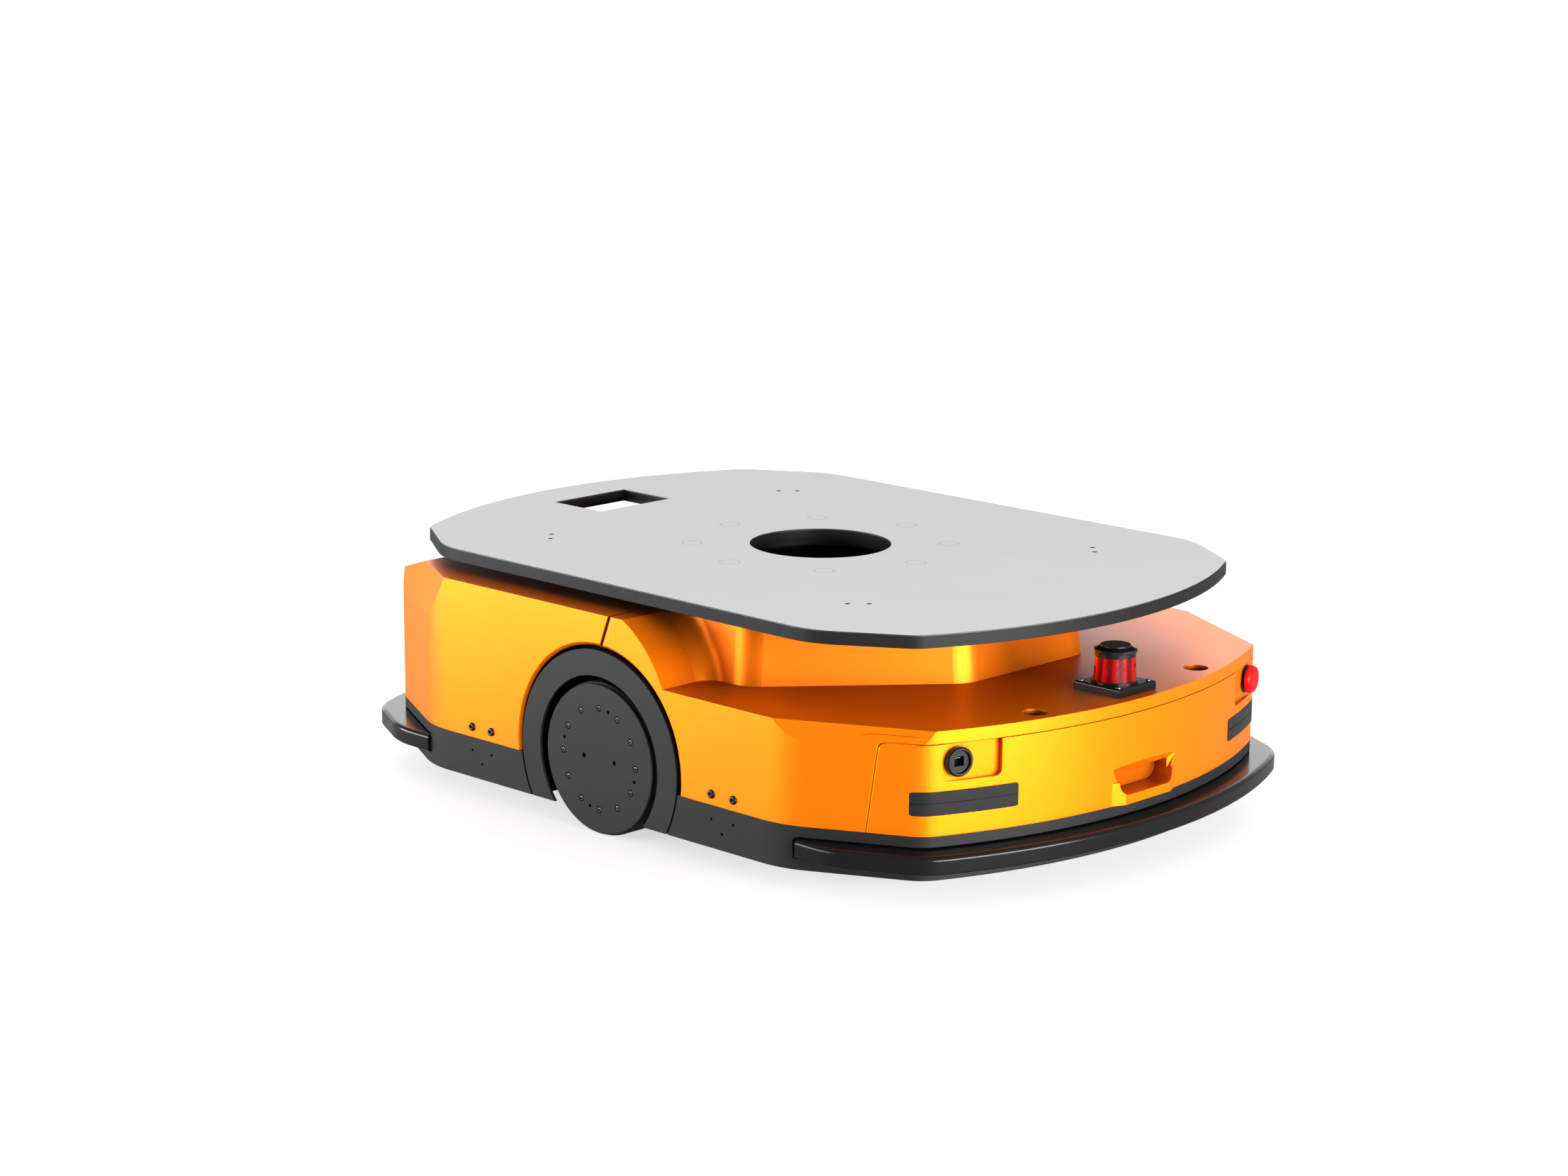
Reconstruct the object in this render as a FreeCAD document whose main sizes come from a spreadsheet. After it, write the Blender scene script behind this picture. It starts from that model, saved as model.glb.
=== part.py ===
import FreeCAD
import Part
import math
import os
import Sketcher

Vector = FreeCAD.Vector
Rotation = FreeCAD.Rotation
Placement = FreeCAD.Placement

# Autonomous mobile robot that drives under a rack, lifts it and turns it.
# +X is forward, +Y is left, +Z is up.  The origin lies on the floor, midway
# between the two drive wheels.  Lengths are in millimetres, angles in degrees.

SIZES = {
    # body plan of one end; the other end is the same, turned half a turn
    "half_width": 408.0,
    "corner_x": 325.0,
    "cheek_x": 482.0,
    "cheek_set_in": 81.0,
    "nose_x": 560.0,
    "nose_radius": 724.0,
    "corner_radius": 130.0,
    "cheek_radius": 55.0,
    # body heights and walls
    "floor_gap": 28.0,
    "skirt_top": 83.0,
    "deck_top": 213.0,
    "roof_gap": 15.0,
    "cover_wall": 4.0,
    "skirt_wall": 4.0,
    "shut_gap": 1.0,
    # drive wheels and wheel arches
    "wheel_radius": 100.0,
    "wheel_set_in": 2.0,
    "wheel_width": 62.0,
    "tyre_depth": 12.0,
    "tyre_lip": 2.0,
    "face_thick": 5.0,
    "spindle_radius": 17.5,
    "spindle_reach": 40.0,
    "wheel_pcd": 134.0,
    "wheel_screw_radius": 4.6,
    "wheel_screw_depth": 2.5,
    "dowel_radius": 2.4,
    "dowel_angle": 15.0,
    "puller_reach": 28.0,
    "puller_radius": 3.3,
    "puller_side": 5.2,
    "hole_depth": 3.5,
    "arch_inner": 109.0,
    "arch_outer": 143.0,
    "arch_gap": 3.0,
    "arch_depth": 58.0,
    "arch_wall": 4.0,
    "arch_lip": 6.0,
    # bumpers
    "bumper_reach": 33.0,
    "bumper_set_in": 2.5,
    "bumper_low": 44.0,
    "bumper_high": 67.5,
    "bumper_start": 345.0,
    "rear_bumper_start": 337.5,
    "bumper_root": 10.0,
    "bumper_round": 6.0,
    "bumper_foot_round": 3.0,
    "slot_start": 337.0,
    "slot_low": 41.5,
    "slot_high": 69.5,
    "slot_depth": 16.0,
    # front cover
    "shoulder_start": 46.0,
    "shoulder_end": 118.0,
    "shoulder_bulge": 9.0,
    "tower_set_in": 83.0,
    "tower_front": 363.0,
    "tower_corner_x": 180.0,
    "tower_corner_y": 112.0,
    "tower_draft": 7.0,
    "tower_front_round": 50.0,
    "tower_side_round": 45.0,
    "tower_blend": 26.0,
    "brow_height": 24.0,
    "brow_inset": 9.0,
    "split_top_x": 21.0,
    "split_lean": 21.0,
    "split_gap": 3.0,
    "split_bevel": 7.5,
    "split_bevel_depth": 2.5,
    "split_flange": 12.0,
    "split_flange_thick": 2.5,
    "deck_hole_x": 512.0,
    "deck_hole_y": 159.0,
    "deck_hole_radius": 16.0,
    "deck_hole_depth": 22.0,
    "neck_gap": 8.0,
    "rib_depth": 12.0,
    "rib_wall": 2.5,
    "rib_inner": 90.0,
    "rib_outer": 250.0,
    # rear cover
    "roof_corner_x": 333.0,
    "roof_back_x": 393.0,
    "roof_back_y": 366.0,
    "cheek_lean": 13.0,
    "cheek_lean_height": 59.0,
    "back_slope": 17.0,
    # front panel and what it carries
    "panel_set_in": 56.0,
    "panel_slant": 8.0,
    "panel_top": 196.0,
    "panel_corner": 10.0,
    "panel_wall": 3.5,
    "lamp_set_in": 73.0,
    "lamp_length": 126.0,
    "lamp_low": 109.0,
    "lamp_high": 138.0,
    "lamp_split": 1.0,
    "lamp_proud": 1.0,
    "lamp_depth": 4.0,
    "lamp_corner": 3.0,
    "port_set_in": 122.0,
    "port_x": 498.0,
    "port_z": 174.0,
    "port_turn": 16.0,
    "recess_set_in": 101.0,
    "recess_length": 78.0,
    "recess_low": 150.0,
    "recess_corner": 8.0,
    "recess_wall": 3.0,
    "port_radius": 18.5,
    "port_height": 9.0,
    "socket_side": 13.0,
    "button_radius": 18.5,
    "button_height": 9.0,
    "collar_thick": 1.0,
    "button_travel": 3.0,
    "button_gap": 0.3,
    "stem_radius": 8.0,
    "grip_half_width": 52.0,
    "grip_top": 123.0,
    "grip_low": 95.0,
    "grip_depth": 28.0,
    "grip_round": 15.0,
    "visor_depth": 8.0,
    "visor_rise": 10.0,
    "visor_flare": 13.0,
    "horn_low": 106.0,
    "horn_narrow": 50.0,
    "horn_wide": 64.0,
    "lip_half_width": 44.0,
    "lip_flare": 12.0,
    "lip_proud": 5.0,
    "lip_root": 3.5,
    "lip_top": 112.0,
    # platform
    "plate_thick": 16.5,
    "plate_top": 321.5,
    "mat_thick": 2.0,
    "mat_inset": 1.5,
    "plate_set_in": 33.0,
    "plate_nose_x": 529.5,
    "plate_nose_radius": 607.0,
    "plate_corner_x": 338.0,
    "plate_cheek_x": 451.0,
    "plate_cheek_set_in": 105.0,
    "plate_corner_round": 110.0,
    "plate_cheek_round": 40.0,
    "plate_hole": 95.0,
    "window_front": 360.0,
    "window_back": 455.0,
    "window_half_width": 67.0,
    "load_bolt_radius": 3.4,
    "load_bolt_x": 273.5,
    "load_bolt_y": 239.5,
    "load_bolt_step": 19.0,
    # lift and turntable
    "lift_travel": 60.0,
    "lift_plate_low": 193.0,
    "lift_plate_thick": 10.0,
    "lift_half_length": 226.0,
    "lift_half_width": 182.0,
    "race_radius": 118.0,
    "race_wall": 6.0,
    "running_gap": 0.05,
    "gear_module": 4.0,
    "gear_teeth": 76.0,
    "pinion_teeth": 16.0,
    "gear_thick": 18.0,
    "neck_radius": 146.0,
    "neck_wall": 12.0,
    "neck_flange": 8.0,
    "screw_x": 200.0,
    "screw_radius": 10.0,
    "nut_radius": 20.0,
    "post_x": 192.0,
    "post_y": 150.0,
    "post_radius": 12.0,
    "bush_radius": 19.0,
    "bush_length": 16.0,
    "motor_radius": 28.0,
    "motor_length": 84.0,
    "pinion_shaft": 7.0,
    "jack_side": 60.0,
    "jack_height": 92.0,
    # chassis
    "floor_plate_low": 40.0,
    "floor_plate_thick": 6.0,
    "side_plate_set_in": 102.0,
    "side_plate_thick": 6.0,
    "cross_plate_x": 300.0,
    "slot_back": 205.0,
    "slot_front": 275.0,
    "slot_foot": 70.0,
    "slot_head": 130.0,
    "mid_plate_low": 150.0,
    "mid_plate_thick": 6.0,
    "mid_half_length": 238.0,
    "frame_top": 188.0,
    "peg_radius": 8.0,
    "peg_angle": 25.0,
    "lens_window": 24.0,
    "lens_barrel": 18.0,
    "battery_length": 185.0,
    "battery_width": 290.0,
    "battery_height": 140.0,
    "controller_length": 170.0,
    "controller_width": 280.0,
    "controller_height": 110.0,
    # drive units
    "arm_set_in": 70.0,
    "arm_thick": 12.0,
    "pivot_x": 150.0,
    "pivot_z": 105.0,
    "pivot_radius": 10.0,
    "arm_boss": 24.0,
    "gearbox_radius": 42.0,
    "gearbox_length": 45.0,
    "drive_motor_radius": 39.0,
    "drive_motor_length": 88.0,
    "hub_boss": 30.0,
    "hub_hollow": 40.0,
    # casters
    "caster_x": 375.0,
    "caster_set_in": 173.0,
    "caster_radius": 37.5,
    "caster_width": 28.0,
    "caster_trail": 22.0,
    "caster_leg": 3.5,
    "caster_plate_low": 98.0,
    "caster_plate_thick": 6.0,
    "caster_well": 66.0,
    "kingpin_radius": 8.0,
    "caster_axle": 5.0,
    # beacon
    "beacon_x": 507.0,
    "beacon_side": 73.0,
    "beacon_base_height": 11.0,
    "lens_radius": 27.0,
    "lens_height": 30.0,
    "lens_wall": 2.5,
    "cap_radius": 27.5,
    "cap_height": 14.0,
    "cap_band": 5.5,
    "cap_rim": 3.5,
    "cap_disc": 19.0,
    "cap_disc_high": 2.0,
    # cover screws
    "cover_screw_radius": 5.8,
    "cover_screw_head": 3.0,
    "cover_screw_z": 97.0,
    "cover_screw_x": 205.0,
    "cover_screw_step": 38.0,
}


class Size:
    """A number together with the sheet expression that it comes from."""

    def __init__(self, value, text):
        self.value = value
        self.text = text

    def __add__(self, other):
        return joined(self, "+", other)

    def __radd__(self, other):
        return joined(other, "+", self)

    def __sub__(self, other):
        return joined(self, "-", other)

    def __rsub__(self, other):
        return joined(other, "-", self)

    def __mul__(self, other):
        return joined(self, "*", other)

    def __rmul__(self, other):
        return joined(other, "*", self)

    def __truediv__(self, other):
        return joined(self, "/", other)

    def __rtruediv__(self, other):
        return joined(other, "/", self)

    def __neg__(self):
        return joined(-1.0, "*", self)


def sized(number):
    if isinstance(number, Size):
        return number
    return Size(float(number), "%.6f" % number)


def joined(first, sign, second):
    a = sized(first)
    b = sized(second)
    value = {
        "+": lambda: a.value + b.value,
        "-": lambda: a.value - b.value,
        "*": lambda: a.value * b.value,
        "/": lambda: a.value / b.value,
    }[sign]()
    return Size(value, "(%s %s %s)" % (a.text, sign, b.text))


def root(number):
    return Size(math.sqrt(sized(number).value), "sqrt(%s)" % sized(number).text)


def cosine(angle):
    return Size(math.cos(math.radians(sized(angle).value)), "cos(%s)" % sized(angle).text)


def sine(angle):
    return Size(math.sin(math.radians(sized(angle).value)), "sin(%s)" % sized(angle).text)


def tangent(angle):
    return sine(angle) / cosine(angle)


class Sheet:
    """Reads a named size as a Size bound to its cell, or one worked out from others."""

    derived = {}

    def __getattr__(self, name):
        if name in self.derived:
            return self.derived[name]
        return Size(SIZES[name], "Sizes." + name)


S = Sheet()
# what keeps its distance from the body's sides
for derived_name, set_in in (
        ("cheek_y", S.cheek_set_in), ("bumper_side", S.bumper_set_in),
        ("wheel_face", S.wheel_set_in), ("side_plate_y", S.side_plate_set_in),
        ("arm_outer", S.arm_set_in), ("panel_half_width", S.panel_set_in),
        ("lamp_outer", S.lamp_set_in), ("port_y", S.port_set_in),
        ("recess_outer", S.recess_set_in), ("tower_side", S.tower_set_in),
        ("plate_half_width", S.plate_set_in), ("plate_cheek_y", S.plate_cheek_set_in),
        ("caster_y", S.caster_set_in)):
    S.derived[derived_name] = S.half_width - set_in
S.derived["lamp_inner"] = S.lamp_outer - S.lamp_length
S.derived["recess_inner"] = S.recess_outer - S.recess_length
S.derived["plate_low"] = S.plate_top - S.plate_thick
S.derived["roof_top"] = S.plate_low - S.roof_gap
S.derived["region_start"] = S.corner_x - 25
DOC = FreeCAD.newDocument("Robot")
NODES = []

AXIS_TURN = {
    "x": Rotation(Vector(0, 1, 0), 90),
    "y": Rotation(Vector(1, 0, 0), -90),
    "z": Rotation(),
}
AXIS_STEP = {"x": Vector(1, 0, 0), "y": Vector(0, 1, 0), "z": Vector(0, 0, 1)}
SIDES = (("left", 1), ("right", -1))
ENDS = (("front", 1), ("rear", -1))


def make_sheet():
    sheet = DOC.addObject("Spreadsheet::Sheet", "Sizes")
    for row, (name, number) in enumerate(SIZES.items(), 1):
        sheet.set("A%d" % row, name)
        sheet.set("B%d" % row, str(number))
        sheet.setAlias("B%d" % row, name)
    DOC.recompute()


def bind(item, prop, number):
    """Binds a property to its size's expression."""
    item.setExpression(prop, sized(number).text)


def put(item, x=0, y=0, z=0, turn=None):
    """Turns an object, then moves it to a place that follows the sheet."""
    item.Placement = Placement(Vector(0, 0, 0), turn or Rotation())
    bind(item, "Placement.Base.x", x)
    bind(item, "Placement.Base.y", y)
    bind(item, "Placement.Base.z", z)
    return item


def node(item, label):
    item.Label = label
    NODES.append(item)
    return item


# ---- primitives and booleans -------------------------------------------------

def box(x, y, z):
    """A block between a low and a high value along each axis."""
    block = DOC.addObject("Part::Box", "Block")
    bind(block, "Length", x[1] - x[0])
    bind(block, "Width", y[1] - y[0])
    bind(block, "Height", z[1] - z[0])
    return put(block, x[0], y[0], z[0])


def rod(radius, length, x=0, y=0, z=0, axis="z"):
    bar = DOC.addObject("Part::Cylinder", "Rod")
    bind(bar, "Radius", radius)
    bind(bar, "Height", length)
    return put(bar, x, y, z, AXIS_TURN[axis])


def cone(radius_start, radius_end, length, x=0, y=0, z=0, axis="z"):
    taper = DOC.addObject("Part::Cone", "Taper")
    bind(taper, "Radius1", radius_start)
    bind(taper, "Radius2", radius_end)
    bind(taper, "Height", length)
    return put(taper, x, y, z, AXIS_TURN[axis])


def fuse(*solids):
    if len(solids) == 1:
        return solids[0]
    whole = DOC.addObject("Part::MultiFuse", "Joined")
    whole.Shapes = list(solids)
    whole.Refine = True
    return whole


def cut(base, *tools):
    rest = DOC.addObject("Part::Cut", "Trimmed")
    rest.Base = base
    rest.Tool = fuse(*tools)
    rest.Refine = True
    return rest


def common(first, second):
    shared = DOC.addObject("Part::Common", "Shared")
    shared.Base = first
    shared.Tool = second
    shared.Refine = True
    return shared


def group(*solids):
    """Separate solids of one kind, kept as one node."""
    bunch = DOC.addObject("Part::Compound", "Group")
    bunch.Links = list(solids)
    return bunch


def tube(outer, inner, length, x=0, y=0, z=0, axis="z"):
    return cut(rod(outer, length, x, y, z, axis), rod(inner, length, x, y, z, axis))


def extruded(sketch, start, length, axis="z", draft=0):
    prism = DOC.addObject("Part::Extrusion", "Prism")
    prism.Base = sketch
    prism.DirMode = "Custom"
    prism.Dir = AXIS_STEP[axis]
    prism.Solid = True
    prism.FaceMakerClass = "Part::FaceMakerBullseye"
    bind(prism, "LengthFwd", length)
    if draft:
        bind(prism, "TaperAngle", draft)
    bind(prism, "Placement.Base." + axis, start)
    return prism


def rounded(item, radius, chosen):
    """Fillets the edges for which chosen(edge) is true."""
    DOC.recompute()
    picked = [i for i, edge in enumerate(item.Shape.Edges, 1) if chosen(edge)]
    if not picked:
        raise RuntimeError("no edge to round on " + item.Label)
    smooth = DOC.addObject("Part::Fillet", "Rounded")
    smooth.Base = item
    amount = sized(radius).value
    smooth.Edges = [(i, amount, amount) for i in picked]
    return smooth


# ---- sketches ----------------------------------------------------------------

def constrain(sketch, kind, *numbers):
    """Adds a constraint whose last number is a size, bound to the sheet."""
    *places, number = numbers
    number = sized(number)
    index = sketch.addConstraint(Sketcher.Constraint(kind, *places, number.value))
    sketch.setExpression("Constraints[%d]" % index, number.text)


def pin_point(sketch, piece, end, x, y):
    constrain(sketch, "DistanceX", -1, 1, piece, end, x)
    constrain(sketch, "DistanceY", -1, 1, piece, end, y)


def polygon(sketch, points):
    """A closed outline of straight lines, with every corner pinned."""
    corners = [(sized(x), sized(y)) for x, y in points]
    count = len(corners)
    start = sketch.GeometryCount
    for i, (x, y) in enumerate(corners):
        next_x, next_y = corners[(i + 1) % count]
        line = Part.LineSegment(Vector(x.value, y.value, 0), Vector(next_x.value, next_y.value, 0))
        sketch.addGeometry(line)
    for i in range(count):
        following = start + (i + 1) % count
        sketch.addConstraint(Sketcher.Constraint("Coincident", start + i, 2, following, 1))
    for i, (x, y) in enumerate(corners):
        pin_point(sketch, start + i, 1, x, y)
    return sketch


def circle(sketch, x, y, radius):
    x = sized(x)
    y = sized(y)
    radius = sized(radius)
    index = sketch.addGeometry(Part.Circle(Vector(x.value, y.value, 0), Vector(0, 0, 1), radius.value))
    constrain(sketch, "Radius", index, radius)
    pin_point(sketch, index, 3, x, y)
    return sketch


def loose_sketch(name, axis="z"):
    """A sketch that lies across the axis: XY for z, XZ for y, YZ for x."""
    sketch = DOC.addObject("Sketcher::SketchObject", name)
    turn = {
        "z": Rotation(),
        "y": Rotation(Vector(1, 0, 0), 90),
        "x": Rotation(Vector(1, 1, 1), 120),
    }[axis]
    sketch.Placement = Placement(Vector(0, 0, 0), turn)
    return sketch


def end_outline(name, plan, inset):
    """Half of a plan outline: two sides, two cheeks and a bowed nose.

    The sides run back to 60 mm behind the middle, so that a cut can trim them.
    Every line and arc lies the inset inside the plan's own.
    """
    side = plan["side"] - inset
    back = sized(-60.0)
    run_x = plan["cheek_x"] - plan["corner_x"]
    run_y = plan["width_y"] - plan["cheek_y"]
    run = root(run_x * run_x + run_y * run_y)
    shift = inset - plan["grow"]
    # two points on the cheek line, moved inward along its normal
    first_x = plan["corner_x"] - shift * run_y / run
    first_y = plan["width_y"] - shift * run_x / run
    second_x = plan["cheek_x"] - shift * run_y / run
    second_y = plan["cheek_y"] - shift * run_x / run
    nose_r = plan["nose_radius"] + plan["grow"] - inset
    middle_x = plan["nose_x"] - plan["nose_radius"]
    corner_r = plan["corner_radius"] - inset
    cheek_r = plan["cheek_radius"] - inset

    # exact tangent points, so that the solver starts at its solution
    ux = (run_x / run).value
    uy = -(run_y / run).value
    nx = uy
    ny = -ux
    # inward normal of the upper cheek line points down and back
    cr = corner_r.value
    kr = cheek_r.value
    start = Vector(first_x.value, first_y.value, 0)
    # corner centre: cr below the side and cr inside the cheek line
    cy = side.value - cr
    along = (cy - start.y - ny * cr) / uy
    corner = Vector(start.x + ux * along + nx * cr, cy, 0)
    side_end = Vector(corner.x, side.value, 0)
    cheek_start = corner - Vector(nx, ny, 0) * cr
    # cheek centre: kr inside the cheek line and nose_r - kr from the middle
    base = start + Vector(nx, ny, 0) * kr - Vector(middle_x.value, 0, 0)
    reach = nose_r.value - kr
    half_b = base.x * ux + base.y * uy
    rest = base.x ** 2 + base.y ** 2 - reach ** 2
    step = -half_b + math.sqrt(half_b ** 2 - rest)
    cheek = base + Vector(ux, uy, 0) * step + Vector(middle_x.value, 0, 0)
    cheek_end = cheek - Vector(nx, ny, 0) * kr
    outward = cheek - Vector(middle_x.value, 0, 0)
    outward.normalize()
    nose_start = cheek + outward * kr

    def flip(point):
        return Vector(point.x, -point.y, 0)

    def arc(middle, radius, low, high):
        whole = Part.Circle(middle, Vector(0, 0, 1), radius)
        first = math.atan2(low.y - middle.y, low.x - middle.x)
        last = math.atan2(high.y - middle.y, high.x - middle.x)
        return Part.ArcOfCircle(whole, first, last)

    nose_middle = Vector(middle_x.value, 0, 0)
    back_top = Vector(back.value, side.value, 0)
    sketch = loose_sketch(name)
    pieces = [
        Part.LineSegment(flip(back_top), flip(side_end)),
        arc(flip(corner), cr, flip(side_end), flip(cheek_start)),
        Part.LineSegment(flip(cheek_start), flip(cheek_end)),
        arc(flip(cheek), kr, flip(cheek_end), flip(nose_start)),
        arc(nose_middle, nose_r.value, flip(nose_start), nose_start),
        arc(cheek, kr, nose_start, cheek_end),
        Part.LineSegment(cheek_end, cheek_start),
        arc(corner, cr, cheek_start, side_end),
        Part.LineSegment(side_end, back_top),
        Part.LineSegment(back_top, flip(back_top)),
    ]
    for piece in pieces:
        sketch.addGeometry(piece)
    last = len(pieces)
    for i in range(8):
        sketch.addConstraint(Sketcher.Constraint("Tangent", i, 2, i + 1, 1))
    sketch.addConstraint(Sketcher.Constraint("Coincident", 8, 2, 9, 1))
    sketch.addConstraint(Sketcher.Constraint("Coincident", 9, 2, 0, 1))
    sketch.addConstraint(Sketcher.Constraint("Vertical", 9))
    sketch.addConstraint(Sketcher.Constraint("Horizontal", 0))
    sketch.addConstraint(Sketcher.Constraint("Horizontal", 8))
    sketch.addConstraint(Sketcher.Constraint("PointOnObject", 4, 3, -1))
    # two marks on each cheek line place it
    for sign, line in ((-1, 2), (1, 6)):
        for x, y in ((first_x, first_y), (second_x, second_y)):
            mark = sketch.addGeometry(Part.Point(Vector(x.value, sign * y.value, 0)), True)
            pin_point(sketch, mark, 1, x, sign * y)
            sketch.addConstraint(Sketcher.Constraint("PointOnObject", mark, 1, line))
    pin_point(sketch, 9, 1, back, side)
    constrain(sketch, "DistanceY", -1, 1, 9, 2, -side)
    for arc_index in (1, 7):
        constrain(sketch, "Radius", arc_index, corner_r)
    for arc_index in (3, 5):
        constrain(sketch, "Radius", arc_index, cheek_r)
    constrain(sketch, "Radius", 4, nose_r)
    constrain(sketch, "DistanceX", -1, 1, 4, 3, middle_x)
    return sketch


BODY_PLAN = {
    "side": S.half_width,
    "width_y": S.half_width,
    "corner_x": S.corner_x,
    "cheek_x": S.cheek_x,
    "cheek_y": S.cheek_y,
    "nose_x": S.nose_x,
    "nose_radius": S.nose_radius,
    "corner_radius": S.corner_radius,
    "cheek_radius": S.cheek_radius,
    "grow": sized(0.0),
}
BUMPER_PLAN = dict(BODY_PLAN, side=S.bumper_side, grow=S.bumper_reach,
                   cheek_radius=S.cheek_radius + S.bumper_reach)
PLATE_PLAN = {
    "side": S.plate_half_width,
    "width_y": S.plate_half_width,
    "corner_x": S.plate_corner_x,
    "cheek_x": S.plate_cheek_x,
    "cheek_y": S.plate_cheek_y,
    "nose_x": S.plate_nose_x,
    "nose_radius": S.plate_nose_radius,
    "corner_radius": S.plate_corner_round,
    "cheek_radius": S.plate_cheek_round,
    "grow": sized(0.0),
}


def slab(plan, inset, low, high, end=1):
    """The plan's half outline between two heights, at the front or the rear."""
    prism = extruded(end_outline("Outline", plan, sized(inset)), low, high - low)
    if end < 0:
        prism.Placement = Placement(Vector(0, 0, 0), Rotation(Vector(0, 0, 1), 180))
        bind(prism, "Placement.Base.z", low)
    return prism


def shell(plan, outer, inner, low, high, end=1):
    """A wall between two insets of the plan."""
    skirt = 5.0
    return cut(slab(plan, outer, low, high, end),
               slab(plan, inner, low - skirt, high + skirt, end))


# ---- shared cutting forms ----------------------------------------------------

OVERRUN = 20.0
FAR = 700.0


def arch_cut(radius):
    """A cylinder across the whole body, round the drive wheels' axis."""
    return rod(radius, 2 * S.half_width + 2 * OVERRUN, 0, -S.half_width - OVERRUN,
               S.wheel_radius, "y")


def neck_cut():
    return rod(S.neck_radius + S.neck_gap, 4 * OVERRUN, 0, 0, S.roof_top - 2 * OVERRUN)


def split_cut(sign):
    """Everything behind the leaning joint of the covers, or in front of it."""
    slope = tangent(S.split_lean)
    edge = S.split_top_x + sign * S.split_gap / 2
    high = S.roof_top + OVERRUN
    sketch = loose_sketch("SplitProfile", "y")
    polygon(sketch, [(edge - S.roof_top * slope, 0), (edge + OVERRUN * slope, high),
                     (-sign * FAR, high), (-sign * FAR, 0)])
    return extruded(sketch, -S.half_width - OVERRUN, 2 * S.half_width + 2 * OVERRUN, "y")


def split_band(sign):
    """The stripe along the joint that its flange fills, clear of the slewing ring."""
    slope = tangent(S.split_lean)
    edge = S.split_top_x + sign * S.split_gap / 2
    far = edge + sign * S.split_flange_thick
    high = S.roof_top
    sketch = loose_sketch("BandProfile", "y")
    polygon(sketch, [(edge - high * slope, 0), (far - high * slope, 0), (far, high), (edge, high)])
    band = extruded(sketch, -S.half_width, 2 * S.half_width, "y")
    return cut(band, rod(S.neck_radius + 2 * OVERRUN, FAR, 0, 0, 0))


def split_bevels():
    """Two wedges that bevel the front cover's sides along the joint."""
    lean = math.radians(S.split_lean.value)
    foot = S.split_top_x + S.split_gap / 2 - S.roof_top * tangent(S.split_lean)
    wedges = []
    for side in (1, -1):
        sketch = loose_sketch("SplitBevel")
        face = side * S.half_width
        polygon(sketch, [(foot - 1, face - side * S.split_bevel_depth),
                         (foot + S.split_bevel, face), (foot + S.split_bevel, face + side),
                         (foot - 1, face + side)])
        wedge = extruded(sketch, 0, (S.roof_top + OVERRUN) / cosine(S.split_lean))
        wedge.Dir = Vector(math.sin(lean), 0, math.cos(lean))
        wedges.append(wedge)
    return wedges


def cheek_frame(sign, end=1):
    """Placement whose X leaves a cheek square and whose Y points up."""
    run_x = (S.cheek_x - S.corner_x).value
    run_y = (S.half_width - S.cheek_y).value
    out = Vector(end * run_y, sign * run_x, 0)
    out.normalize()
    up = Vector(0, 0, 1)
    return Rotation(out, up, out.cross(up), "XYZ")


def cheek_bevel(sign, end, top, height, lean, inset):
    """A wedge that takes the top edge off one corner, the inset inside its face."""
    rise = S.cheek_radius
    slant = root(height * height + lean * lean) / height
    foot = -inset * slant
    sketch = DOC.addObject("Sketcher::SketchObject", "BevelProfile")
    polygon(sketch, [(foot, top - height), (foot + lean + rise, top - height - rise),
                     (foot + lean + rise, top + rise),
                     (foot - lean * (1 + rise / height), top + rise)])
    put(sketch, end * S.corner_x, sign * S.half_width, 0, cheek_frame(sign, end))
    wedge = DOC.addObject("Part::Extrusion", "Bevel")
    wedge.Base = sketch
    wedge.DirMode = "Normal"
    wedge.Solid = True
    wedge.FaceMakerClass = "Part::FaceMakerBullseye"
    wedge.Symmetric = True
    bind(wedge, "LengthFwd", 2 * S.half_width)
    return wedge


# ---- covers ------------------------------------------------------------------

def shoulder(inset):
    """The bowed housing that comes down from the roof beside each wheel."""
    run = S.shoulder_end - S.shoulder_start
    drop = S.roof_top - S.deck_top
    chord = root(run * run + drop * drop)
    radius = (chord * chord / 4 + S.shoulder_bulge * S.shoulder_bulge) / (2 * S.shoulder_bulge)
    depth = radius - S.shoulder_bulge
    middle_x = (S.shoulder_start + S.shoulder_end) / 2 - depth * drop / chord
    middle_z = (S.roof_top + S.deck_top) / 2 - depth * run / chord
    width = (-S.half_width + inset, S.half_width - inset)
    bow = rod(radius - inset, width[1] - width[0], middle_x, width[0], middle_z, "y")
    block = box((middle_x - OVERRUN * 3, S.shoulder_end + OVERRUN), width,
                (S.deck_top - OVERRUN, S.roof_top - inset))
    return common(bow, block)


def tower_points(inset):
    run_x = S.tower_front - S.tower_corner_x
    run_y = S.tower_side - S.tower_corner_y
    run = root(run_x * run_x + run_y * run_y)
    nx = -run_y / run
    ny = -run_x / run
    back = -60.0
    side = S.tower_side - inset
    front = S.tower_front - inset
    side_x = S.tower_corner_x + nx * inset + (inset + ny * inset) * run_x / run_y
    front_y = S.tower_corner_y + ny * inset + (inset + nx * inset) * run_y / run_x
    return [(back, -side), (side_x, -side), (front, -front_y),
            (front, front_y), (side_x, side), (back, side)]


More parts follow.
